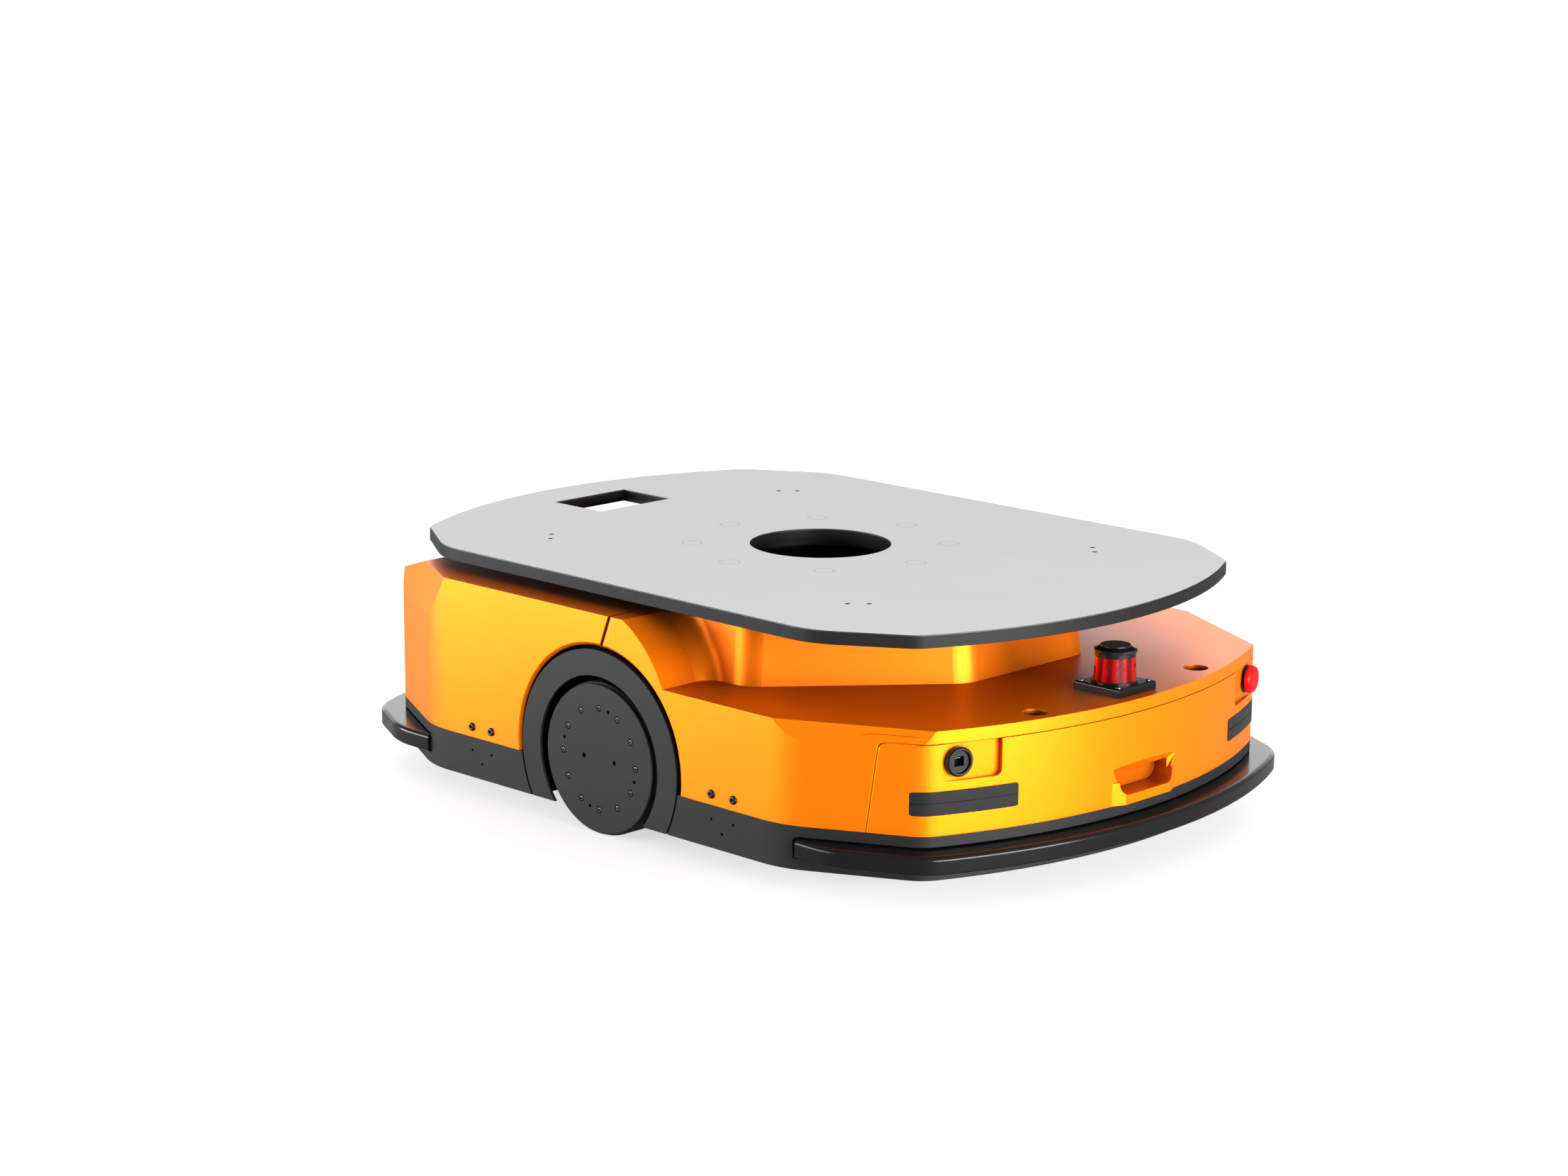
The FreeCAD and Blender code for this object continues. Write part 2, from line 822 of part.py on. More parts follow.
def tower(inset):
    """The drafted hood over the lift, between the deck and the roof."""
    sketch = polygon(loose_sketch("TowerPlan"), tower_points(sized(inset)))
    low = S.deck_top - inset
    prism = extruded(sketch, low, S.roof_top - S.deck_top, "z", -S.tower_draft)
    steep = (S.roof_top - S.deck_top).value * 0.9

    def corner(low_x, high_x):
        def chosen(edge):
            bounds = edge.BoundBox
            return bounds.ZLength > steep and low_x < bounds.XMax < high_x
        return chosen

    middle = ((S.tower_front + S.tower_corner_x) / 2).value
    near = rounded(prism, S.tower_front_round - inset, corner(middle, FAR))
    return rounded(near, S.tower_side_round - inset, corner(OVERRUN, middle))


def brows(inset):
    return [cheek_bevel(sign, 1, S.deck_top, S.brow_height, S.brow_inset, inset)
            for sign in (1, -1)]


def front_form(inset, low):
    """The front cover's solid outer form, or the hollow a wall inside it."""
    inset = sized(inset)
    form = fuse(slab(BODY_PLAN, inset, low, S.deck_top - inset), shoulder(inset), tower(inset))
    if inset.value == 0:
        form = rounded(form, S.tower_blend, shoulder_root)
    return cut(form, *brows(inset))


def shoulder_root(edge):
    """Where the shoulder's bow meets the tower's side."""
    bounds = edge.BoundBox
    return (bounds.XMin > S.shoulder_start.value - OVERRUN
            and bounds.XMax < S.shoulder_end.value + 2
            and bounds.ZLength > (S.roof_top - S.deck_top).value * 0.9
            and max(abs(bounds.YMin), abs(bounds.YMax)) < S.tower_side.value + 1)


def panel_region(grow):
    """The front panel's outline seen from the front, run along X."""
    grow = sized(grow)
    top = S.panel_top + grow
    wide = S.panel_half_width + grow
    foot = wide + S.panel_slant
    sketch = loose_sketch("PanelProfile", "x")
    polygon(sketch, [(-foot, S.skirt_top - OVERRUN), (foot, S.skirt_top - OVERRUN),
                     (wide, top), (-wide, top)])
    prism = extruded(sketch, S.region_start, FAR - S.region_start, "x")

    def upper(edge):
        bounds = edge.BoundBox
        return bounds.XLength > 1 and bounds.ZMin > S.panel_top.value - OVERRUN

    return rounded(prism, S.panel_corner, upper)


def recess_frame(side):
    """The turned floor that carries the port on the right, the button on the left."""
    return Rotation(Vector(0, 0, 1), side * S.port_turn.value)


def recess(side, grow, start, length):
    """A block square to a recess floor; the start is measured from that floor."""
    spread = cosine(S.port_turn)
    inner = (S.port_y - S.recess_inner) / spread + grow
    outer = (S.recess_outer - S.port_y) / spread + grow
    low, high = (-outer, inner) if side < 0 else (-inner, outer)
    block = box((start, start + length), (low, high), (S.recess_low - grow, S.panel_top + 1))

    def lower(edge):
        bounds = edge.BoundBox
        return bounds.XLength > length * 0.9 and bounds.ZMax < S.recess_low.value + 1

    smooth = rounded(block, S.recess_corner + grow, lower)
    return put(smooth, S.port_x, side * S.port_y, 0, recess_frame(side))


def flared(low_half, high_half, run, low, high, high_rise, start):
    """A block that runs out of the panel and widens as it goes."""
    block = DOC.addObject("Part::Wedge", "Flared")
    # the block's own Y runs along +X, and its own X runs to the right
    bind(block, "Xmin", -low_half)
    bind(block, "Xmax", low_half)
    bind(block, "X2min", -high_half)
    bind(block, "X2max", high_half)
    bind(block, "Ymin", 0)
    bind(block, "Ymax", run)
    bind(block, "Zmin", low)
    bind(block, "Z2min", low)
    bind(block, "Zmax", high)
    bind(block, "Z2max", high + high_rise)
    return put(block, start, 0, 0, Rotation(Vector(0, 0, 1), -90))


def visor(grow):
    """The slope above the hand pocket, with a flared corner at each end."""
    grow = sized(grow)
    run = S.visor_depth + OVERRUN + grow
    share = run / S.visor_depth
    block = flared(S.grip_half_width + grow, S.grip_half_width + grow + S.visor_flare * share, run,
                   S.horn_low - grow, S.grip_top + grow, S.visor_rise * share,
                   S.nose_x - S.visor_depth - grow)
    sketch = loose_sketch("HornProfile", "x")
    high = S.grip_top + S.visor_rise + OVERRUN
    spread = (S.horn_wide - S.horn_narrow) / (S.grip_top + S.visor_rise - S.horn_low)
    low_half = S.horn_narrow + grow
    high_half = low_half + spread * (high - S.horn_low)
    polygon(sketch, [(-low_half, S.horn_low - grow), (low_half, S.horn_low - grow),
                     (high_half, high), (-high_half, high)])
    return common(block, extruded(sketch, S.region_start, FAR - S.region_start, "x"))


def grip_form(grow):
    """The hand pocket under the visor, with rounded lower corners."""
    grow = sized(grow)
    half = S.grip_half_width + grow
    start = S.nose_x - S.grip_depth - grow
    block = box((start, S.nose_x + OVERRUN), (-half, half), (S.grip_low - grow, S.grip_top + grow))

    def lower(edge):
        bounds = edge.BoundBox
        return bounds.XLength > 5 and bounds.ZMax < S.grip_low.value + 1

    return fuse(rounded(block, S.grip_round + grow, lower), visor(grow))


def grip_lip():
    """The pocket's proud lower lip, with a slanted flank at each end."""
    share = (S.lip_proud + S.lip_root) / S.lip_proud
    half = S.lip_half_width
    return flared(half + S.lip_flare * share, half, S.lip_proud + S.lip_root, S.skirt_top,
                  S.lip_top, 0, S.nose_x - S.lip_root)


def lamp_window(side, grow):
    grow = sized(grow)
    low, high = S.lamp_inner - grow, S.lamp_outer + grow
    y = (low, high) if side > 0 else (-high, -low)
    block = box((S.region_start, FAR), y, (S.lamp_low - grow, S.lamp_high + grow))
    return rounded(block, S.lamp_corner + grow, lambda edge: edge.BoundBox.XLength > 100)


def make_lamps():
    """A strip at each front corner: a lens in the wall and a flange behind it."""
    strips = []
    wall = S.panel_wall
    for side in (1, -1):
        face = common(shell(BODY_PLAN, -S.lamp_proud, wall, S.lamp_low - 9, S.lamp_high + 9),
                      lamp_window(side, 0))
        back = common(shell(BODY_PLAN, wall, wall + S.lamp_depth, S.lamp_low - 9,
                            S.lamp_high + 9), lamp_window(side, S.lamp_corner))
        middle = (S.lamp_low + S.lamp_high) / 2
        groove = shell(BODY_PLAN, -5.0, 0.6, middle, middle + S.lamp_split)
        strips.append(cut(fuse(face, back), groove))
    return node(group(*strips), "front_lamps")


def make_front_cover():
    wall = S.cover_wall
    outer = front_form(0, S.skirt_top)
    hollow = cut(outer, front_form(wall, S.skirt_top - OVERRUN))
    flange = cut(front_form(wall - 0.5, S.skirt_top), front_form(wall + S.split_flange, S.floor_gap))
    ribs = [box((S.tower_front + 14, FAR), (y - S.rib_wall / 2, y + S.rib_wall / 2),
                (S.deck_top - wall - S.rib_depth, S.deck_top - wall + 0.5))
            for y in (-S.rib_outer, -S.rib_inner, S.rib_inner, S.rib_outer)]
    inside = slab(BODY_PLAN, wall - 0.5, S.skirt_top, S.deck_top - wall + 0.5)
    webs = common(fuse(*ribs), inside)
    wells = []
    bores = []
    for side in (1, -1):
        place = (S.deck_hole_x, side * S.deck_hole_y)
        wells.append(rod(S.deck_hole_radius + S.rib_wall, S.deck_hole_depth,
                         place[0], place[1], S.deck_top - S.deck_hole_depth - 1))
        bores.append(rod(S.deck_hole_radius, S.deck_hole_depth,
                         place[0], place[1], S.deck_top - S.deck_hole_depth + S.rib_wall))
    ledge = cut(common(shell(BODY_PLAN, S.panel_wall, S.panel_wall + 3.0, S.skirt_top,
                             S.panel_top + 10), panel_region(9.0)),
                panel_region(-9.0), *[
                    box((S.region_start, FAR), ordered(side * (S.recess_inner - 9),
                                              side * (S.recess_outer + 9)),
                        (S.recess_low - 9, S.panel_top + 15)) for side in (1, -1)],
                *[lamp_window(side, S.lamp_corner + 1) for side in (1, -1)])
    window = common(panel_region(S.shut_gap),
                    shell(BODY_PLAN, -5.0, wall + 0.2, S.skirt_top - 5, S.panel_top + 5))
    body = fuse(cut(hollow, window), webs, ledge, common(flange, split_band(1)), *wells)
    lips = [cone(S.arch_outer + S.arch_gap + S.arch_lip, S.arch_outer + S.arch_gap,
                 S.arch_lip, 0, -S.half_width, S.wheel_radius, "y"),
            cone(S.arch_outer + S.arch_gap, S.arch_outer + S.arch_gap + S.arch_lip,
                 S.arch_lip, 0, S.half_width - S.arch_lip, S.wheel_radius, "y")]
    body = cut(body, split_cut(1), arch_cut(S.arch_outer + S.arch_gap), neck_cut(),
               *bores, *lips, *split_bevels(), *cover_screw_bores(1))
    return node(body, "front_cover")


def ordered(first, second):
    first = sized(first)
    second = sized(second)
    return (first, second) if first.value < second.value else (second, first)


def rear_form(inset, low):
    """The tall rear cover: a sloping tail and two corners that lean inward."""
    inset = sized(inset)
    block = slab(BODY_PLAN, inset, low, S.roof_top - inset, -1)
    slope = tangent(S.back_slope)
    top = S.roof_top + OVERRUN
    sketch = loose_sketch("TailProfile", "y")
    start = S.roof_top - inset / cosine(S.back_slope)
    polygon(sketch, [(-S.roof_back_x + OVERRUN / slope, start + OVERRUN),
                     (-FAR, start - (FAR - S.roof_back_x) * slope), (-FAR, top + OVERRUN),
                     (-S.roof_back_x + OVERRUN / slope, top + OVERRUN)])
    tail = extruded(sketch, -S.half_width - OVERRUN, 2 * S.half_width + 2 * OVERRUN, "y")
    bevels = [cheek_bevel(sign, -1, S.roof_top, S.cheek_lean_height, S.cheek_lean, inset)
              for sign in (1, -1)]
    return cut(block, tail, *bevels)


def make_rear_cover():
    wall = S.cover_wall
    hollow = cut(rear_form(0, S.skirt_top), rear_form(wall, S.skirt_top - OVERRUN))
    lips = [cone(S.arch_outer + S.arch_gap + S.arch_lip, S.arch_outer + S.arch_gap,
                 S.arch_lip, 0, -S.half_width, S.wheel_radius, "y"),
            cone(S.arch_outer + S.arch_gap, S.arch_outer + S.arch_gap + S.arch_lip,
                 S.arch_lip, 0, S.half_width - S.arch_lip, S.wheel_radius, "y")]
    flange = cut(rear_form(wall - 0.5, S.skirt_top), rear_form(wall + S.split_flange, S.floor_gap))
    body = cut(fuse(hollow, common(flange, split_band(-1))), split_cut(-1),
               arch_cut(S.arch_outer + S.arch_gap), neck_cut(), *lips, *cover_screw_bores(-1))
    return node(body, "rear_cover")


def make_front_panel():
    wall = S.panel_wall
    skin = common(shell(BODY_PLAN, 0, wall, S.skirt_top, S.panel_top), panel_region(0))
    bosses = [common(recess(side, S.recess_wall, -S.recess_wall, 40.0),
                     slab(BODY_PLAN, 0, S.skirt_top, S.panel_top)) for side in (1, -1)]
    bosses.append(common(grip_form(S.recess_wall), slab(BODY_PLAN, 0, S.skirt_top, S.panel_top)))
    hollows = [recess(side, 0, sized(0), 60.0) for side in (1, -1)]
    hollows.append(grip_form(0))
    for side in (1, -1):
        barrel = S.stem_radius + 4 if side > 0 else S.socket_side
        hole = rod(barrel + 0.1, 4 * OVERRUN, 0, 0, 0, "x")
        turn = recess_frame(side)
        shift = turn.multVec(Vector(-OVERRUN, 0, 0))
        put(hole, S.port_x + shift.x, side * S.port_y + shift.y, S.port_z,
            turn.multiply(AXIS_TURN["x"]))
        hollows.append(hole)
        hollows.append(lamp_window(side, 0.3))
    return node(cut(fuse(skin, grip_lip(), *bosses), *hollows, *brows(0)), "front_panel")


# ---- skirts, bumpers, arches -------------------------------------------------

def make_skirt(label, end):
    low, high = S.slot_low - S.skirt_wall, S.slot_high + S.skirt_wall
    wall = shell(BODY_PLAN, 0, S.skirt_wall, S.floor_gap, S.skirt_top, end)
    x = ordered(end * (S.slot_start - S.skirt_wall), end * FAR)
    channel = common(shell(BODY_PLAN, 0, S.slot_depth + S.skirt_wall, low, high, end),
                     box(x, (-FAR, FAR), (low - 5, high + 5)))
    x = ordered(end * S.slot_start, end * FAR)
    slot = common(shell(BODY_PLAN, -50.0, S.slot_depth, S.slot_low, S.slot_high, end),
                  box(x, (-FAR, FAR), (low - 5, high + 5)))
    pins = []
    for x_place, z_place in ((0.0, 65.0), (S.cover_screw_step, 65.0),
                             (S.cover_screw_step / 2, 49.0)):
        pins.append(rod(1.8, 2 * S.half_width + 2 * OVERRUN, end * (S.cover_screw_x + x_place),
                        -S.half_width - OVERRUN, z_place, "y"))
    body = cut(fuse(wall, channel), slot, arch_cut(S.arch_outer + S.arch_gap), *pins)
    return node(body, label)


def straight_back(edge):
    """The outline's straight rear edge, which lies across the body."""
    bounds = edge.BoundBox
    return bounds.XLength < 1 and bounds.YLength > S.half_width.value


def make_bumper(label, end):
    """The rubber safety edge, seated in the skirt's slot."""
    whole = slab(BUMPER_PLAN, 0, S.bumper_low, S.bumper_high, end)
    high = S.bumper_high.value - 0.1
    low = S.bumper_low.value + 0.1
    whole = rounded(whole, S.bumper_round, lambda edge: edge.BoundBox.ZMin > high
                    and not straight_back(edge))
    whole = rounded(whole, S.bumper_foot_round, lambda edge: edge.BoundBox.ZMax < low
                    and not straight_back(edge))
    strip = cut(whole, slab(BUMPER_PLAN, S.bumper_reach + S.bumper_root, 0, 2 * S.skirt_top, end))
    x = ordered(end * (S.bumper_start if end > 0 else S.rear_bumper_start), end * FAR)
    strip = common(strip, box(x, (-FAR, FAR), (0, 2 * S.skirt_top)))
    keep = slab(BODY_PLAN, S.slot_depth, 0, 2 * S.skirt_top, end)
    return node(cut(strip, keep), label)


def make_arch_ring(label, side):
    y = side * S.half_width
    wall = S.arch_wall
    face_start = y - wall if side > 0 else y
    sleeve_start = y - S.arch_depth if side > 0 else y
    face = rod(S.arch_outer, wall, 0, face_start, S.wheel_radius, "y")
    sleeve = rod(S.arch_outer, S.arch_depth, 0, sleeve_start, S.wheel_radius, "y")
    bore = rod(S.arch_outer - wall, S.arch_depth, 0,
               sleeve_start - wall if side > 0 else sleeve_start + wall, S.wheel_radius, "y")
    opening = rod(S.arch_inner, 4 * wall, 0, y - 2 * wall, S.wheel_radius, "y")
    foot = box((-FAR, FAR), (-FAR, FAR), (-FAR, S.floor_gap))
    return node(cut(fuse(face, cut(sleeve, bore)), opening, foot), label)


def cover_screw_places(end):
    for side in (1, -1):
        for step in (0, 1):
            yield side, end * (S.cover_screw_x + step * S.cover_screw_step)


def cover_screw_bores(end):
    return [rod(3.3, 3 * OVERRUN, x, side * S.half_width - 1.5 * OVERRUN, S.cover_screw_z, "y")
            for side, x in cover_screw_places(end)]


def make_cover_screws():
    screws = []
    for end in (1, -1):
        for side, x in cover_screw_places(end):
            out = side * S.half_width
            shank = S.cover_wall * 2
            head = rod(S.cover_screw_radius, S.cover_screw_head, x,
                       out if side > 0 else out - S.cover_screw_head, S.cover_screw_z, "y")
            stem = rod(3.0, shank, x, out - shank if side > 0 else out, S.cover_screw_z, "y")
            screws.append(fuse(head, stem))
    return node(group(*screws), "cover_screws")


# ---- platform, turntable and lift ----------------------------------------------

def plate_slab(inset, low, high):
    return fuse(slab(PLATE_PLAN, inset, low, high), slab(PLATE_PLAN, inset, low, high, -1))


def load_bolt_places():
    for sign_x in (1, -1):
        for sign_y in (1, -1):
            yield sign_x * S.load_bolt_x, sign_y * S.load_bolt_y
            yield (sign_x * (S.load_bolt_x + S.load_bolt_step),
                   sign_y * (S.load_bolt_y - S.load_bolt_step))


def plate_holes():
    """The centre hole, the window and the load bolts, through plate and mat."""
    low = S.plate_low - OVERRUN
    length = S.plate_top - S.plate_low + 2 * OVERRUN
    tools = [rod(S.plate_hole, length, 0, 0, low),
             box((-S.window_back, -S.window_front),
                 (-S.window_half_width, S.window_half_width), (low, low + length))]
    tools += [rod(S.load_bolt_radius, length, x, y, low) for x, y in load_bolt_places()]
    return tools


def make_platform():
    """The load plate and the thin mat glued on top of it."""
    seam = S.plate_top - S.mat_thick
    node(cut(plate_slab(0, S.plate_low, seam), *plate_holes()), "platform_plate")
    node(cut(plate_slab(S.mat_inset, seam, S.plate_top), *plate_holes()), "platform_mat")


def toothed_disc(label, teeth, first_angle, low, bore):
    """A spur gear's blank with straight-flanked teeth, centred on the first angle."""
    module = S.gear_module.value
    pitch = module * teeth / 2
    half_pitch = math.pi / teeth
    profile = ((pitch - 1.2 * module, 0.70), (pitch + 0.95 * module, 0.18))
    points = []
    for tooth in range(int(teeth)):
        middle = math.radians(first_angle) + 2 * tooth * half_pitch
        flank = [(radius, share * half_pitch) for radius, share in profile]
        for radius, spread in flank:
            points.append(Vector(radius * math.cos(middle - spread),
                                 radius * math.sin(middle - spread), 0))
        for radius, spread in reversed(flank):
            points.append(Vector(radius * math.cos(middle + spread),
                                 radius * math.sin(middle + spread), 0))
    face = Part.Face(Part.makePolygon(points + points[:1]))
    disc = face.extrude(Vector(0, 0, S.gear_thick.value))
    item = DOC.addObject("Part::Feature", label)
    item.Shape = disc.cut(Part.makeCylinder(bore.value, S.gear_thick.value))
    bind(item, "Placement.Base.z", low)
    return item


PINION_ANGLE = 45.0


def gear_distance():
    return S.gear_module * (S.gear_teeth + S.pinion_teeth) / 2


def pinion_place():
    reach = gear_distance()
    return reach * cosine(PINION_ANGLE), reach * sine(PINION_ANGLE)


def gear_low():
    return S.lift_plate_low + S.lift_plate_thick


def make_turntable():
    """Slewing ring: a toothed rim, a neck through the roof and a top flange."""
    low = gear_low()
    neck_low = low + S.gear_thick
    rim = toothed_disc("SlewingTeeth", S.gear_teeth.value, PINION_ANGLE, low,
                       S.race_radius + S.running_gap)
    neck = tube(S.neck_radius, S.neck_radius - S.neck_wall, S.plate_low - neck_low + 2.0,
                0, 0, neck_low - 2.0)
    trim = box((-FAR, FAR), (-FAR, FAR), (S.plate_low, S.plate_low + 2 * OVERRUN))
    flange = tube(S.neck_radius, S.plate_hole + 8.0, S.neck_flange, 0, 0,
                  S.plate_low - S.neck_flange)
    return node(fuse(rim, cut(neck, trim), flange), "slewing_ring")


def make_lift_frame():
    """The carriage: a plate on four guide bushes and two nuts, with the ring's race."""
    low = S.lift_plate_low
    plate = box((-S.lift_half_length, S.lift_half_length),
                (-S.lift_half_width, S.lift_half_width), (low, gear_low()))
    plate = rounded(plate, 26.0, lambda edge: edge.BoundBox.ZLength > 5)
    race = rod(S.race_radius, S.lift_plate_thick + S.gear_thick - 2.0, 0, 0, low)
    sockets = []
    bores = [rod(S.race_radius - S.race_wall, FAR, 0, 0, 0)]
    for sign_x in (1, -1):
        sockets.append(rod(S.nut_radius, S.bush_length + 2, sign_x * S.screw_x, 0,
                           low - S.bush_length))
        bores.append(rod(S.screw_radius + S.running_gap, FAR, sign_x * S.screw_x, 0, 0))
        for sign_y in (1, -1):
            place = (sign_x * S.post_x, sign_y * S.post_y)
            sockets.append(rod(S.bush_radius, S.bush_length + 2, *place, low - S.bush_length))
            bores.append(rod(S.post_radius + S.running_gap, FAR, *place, 0))
    bores.append(rod(S.pinion_shaft + 2.0, FAR, *pinion_place(), 0))
    # lightening windows between the race and the side edges
    return node(cut(fuse(plate, race, *sockets), *bores), "lift_frame")


def make_turn_drive():
    place = pinion_place()
    low = S.lift_plate_low
    body = rod(S.motor_radius, S.motor_length, *place, low - S.motor_length)
    cap = rod(S.motor_radius - 3, 8.0, *place, low - S.motor_length - 8.0)
    shaft = rod(S.pinion_shaft, S.lift_plate_thick + S.gear_thick - 3.0, *place, low)
    node(fuse(body, cap, shaft), "turn_motor")
    pinion = toothed_disc("PinionTeeth", S.pinion_teeth.value,
                          PINION_ANGLE + 180 + 180 / S.pinion_teeth.value, gear_low(),
                          S.pinion_shaft + S.running_gap)
    x, y = place
    bind(pinion, "Placement.Base.x", x)
    bind(pinion, "Placement.Base.y", y)
    node(pinion, "turn_pinion")


def make_lift_drives():
    """Screw jacks on the centre line, guide posts at the corners."""
    floor = S.mid_plate_low + S.mid_plate_thick
    top = S.lift_plate_low + S.lift_travel + S.lift_plate_thick + 8.0
    for name, sign in ENDS:
        x = sign * S.screw_x
        collar = rod(S.screw_radius + 6, 8.0, x, 0, floor)
        node(fuse(rod(S.screw_radius, top - floor, x, 0, floor), collar), "lift_screw_" + name)
        half = S.jack_side / 2
        motor = box((x - half, x + half), (-half, half),
                    (S.mid_plate_low - S.jack_height, S.mid_plate_low))
        motor = rounded(motor, 7.0, lambda edge: edge.BoundBox.ZLength > 20)
        node(motor, "lift_motor_" + name)
    posts = [rod(S.post_radius, top - floor, sign_x * S.post_x, sign_y * S.post_y, floor)
             for sign_x in (1, -1) for sign_y in (1, -1)]
    node(group(*posts), "guide_posts")


# ---- chassis -------------------------------------------------------------------

def make_chassis():
    """Welded frame: floor plate, two sides, two cross walls and the lift deck."""
    low = S.floor_plate_low
    high = low + S.floor_plate_thick
    inset = S.slot_depth + S.skirt_wall
    floor = fuse(slab(BODY_PLAN, inset, low, high), slab(BODY_PLAN, inset, low, high, -1))
    wheel_bays = [box((-S.arch_outer - 17, S.arch_outer + 17), ordered(
        side * (S.side_plate_y + S.side_plate_thick), side * FAR), (0, high + 5))
        for side in (1, -1)]
    wells = [rod(S.caster_well, 30.0, sign_x * S.caster_x, sign_y * S.caster_y, low - 10)
             for sign_x in (1, -1) for sign_y in (1, -1)]
    floor = cut(floor, *wheel_bays, *wells)
    walls = []
    holes = [rod(S.lens_window, 40.0, 0, 0, low - 10)]
    for side in (1, -1):
        y = ordered(side * S.side_plate_y, side * (S.side_plate_y + S.side_plate_thick))
        walls.append(box((-S.cross_plate_x - 6, S.cross_plate_x + 6), y, (low, S.frame_top)))
        start = S.side_plate_y - 10 if side > 0 else -S.side_plate_y - 20
        holes.append(rod(S.gearbox_radius + 14, 30.0, 0, start, S.wheel_radius, "y"))
        holes.append(rod(S.pivot_radius + S.running_gap, 60.0, S.pivot_x, start - 10,
                         S.pivot_z, "y"))
        for end in (1, -1):
            # pegs that carry the wheel arch, and slots that lighten the side
            reach = S.arch_outer - S.arch_wall / 2
            x = end * reach * cosine(S.peg_angle)
            z = S.wheel_radius + reach * sine(S.peg_angle)
            length = S.half_width - S.arch_depth - S.side_plate_y
            walls.append(rod(S.peg_radius, length, x, side * S.side_plate_y if side > 0
                             else -S.side_plate_y - length, z, "y"))
            slot = box(ordered(end * S.slot_back, end * S.slot_front), (y[0] - 5, y[1] + 5),
                       (S.slot_foot, S.slot_head))
            holes.append(slot)
    for end in (1, -1):
        x = ordered(end * S.cross_plate_x, end * (S.cross_plate_x + 6))
        walls.append(box(x, (-S.side_plate_y, S.side_plate_y), (low, S.frame_top)))
        for side in (1, -1):
            y = side * S.caster_y
            bracket = box(ordered(end * S.cross_plate_x, end * (S.caster_x + 42)),
                          (y - 45, y + 45), (S.caster_plate_low + S.caster_plate_thick,
                                             S.caster_plate_low + 2 * S.caster_plate_thick))
            rib = box(ordered(end * S.cross_plate_x, end * (S.caster_x + 20)), (y - 3, y + 3),
                      (S.caster_plate_low + S.caster_plate_thick, S.mid_plate_low))
            walls += [bracket, rib]
    deck_low, deck_high = S.mid_plate_low, S.mid_plate_low + S.mid_plate_thick
    walls.append(box((-S.mid_half_length, S.mid_half_length),
                     (-S.side_plate_y, S.side_plate_y), (deck_low, deck_high)))
    holes.append(rod(S.lens_window, 30.0, 0, 0, deck_low - 10))
    holes.append(rod(S.motor_radius + 6, 30.0, *pinion_place(), deck_low - 10))
    for sign in (1, -1):
        holes.append(rod(S.screw_radius + 1, 30.0, sign * S.screw_x, 0, deck_low - 10))
    return node(cut(fuse(floor, *walls), *holes), "chassis_frame")


def make_packs():
    """The battery behind, the controller in front, both on the floor plate."""
    floor = S.floor_plate_low + S.floor_plate_thick
    start = S.cross_plate_x + 14
    battery = box((-start - S.battery_length, -start),
                  (-S.battery_width / 2, S.battery_width / 2), (floor, floor + S.battery_height))
    battery = rounded(battery, 8.0, lambda edge: edge.BoundBox.ZLength > 20)
    seam = box((-FAR, 0), (-FAR, FAR), (floor + S.battery_height - 24,
                                        floor + S.battery_height - 22))
    core = box((-start - S.battery_length + 2, -start - 2),
               (-S.battery_width / 2 + 2, S.battery_width / 2 - 2),
               (floor, floor + S.battery_height - 10))
    node(fuse(cut(battery, seam), core), "battery_pack")
    x = (start, start + S.controller_length)
    case = box(x, (-S.controller_width / 2, S.controller_width / 2),
               (floor, floor + S.controller_height))
    fins = [box((x[0] + 8, x[1] - 8), (y - 2, y + 2),
                (floor + S.controller_height - 1, floor + S.controller_height + 14))
            for y in range(-96, 97, 24)]
    node(fuse(case, *fins), "controller_box")


def make_cameras():
    """One reads marks on the floor, the other the mark under the load."""
    top = S.mid_plate_low
    case = box((-30.0, 30.0), (-30.0, 30.0), (top - 34, top))
    barrel = rod(S.lens_barrel, S.mid_plate_thick + 18, 0, 0, top - 2)
    eye = cone(8.0, 14.0, 8.0, 0, 0, top + S.mid_plate_thick + 8.5)
    node(cut(fuse(case, barrel), eye), "load_camera")
    floor = S.floor_plate_low
    case = box((-30.0, 30.0), (-30.0, 30.0), (floor + S.floor_plate_thick, floor + 40))
    barrel = rod(S.lens_barrel, S.floor_plate_thick + 10, 0, 0, floor - 6)
    eye = cone(14.0, 8.0, 8.0, 0, 0, floor - 6.5)
    node(cut(fuse(case, barrel), eye), "floor_camera")


# ---- drive units and casters -----------------------------------------------------

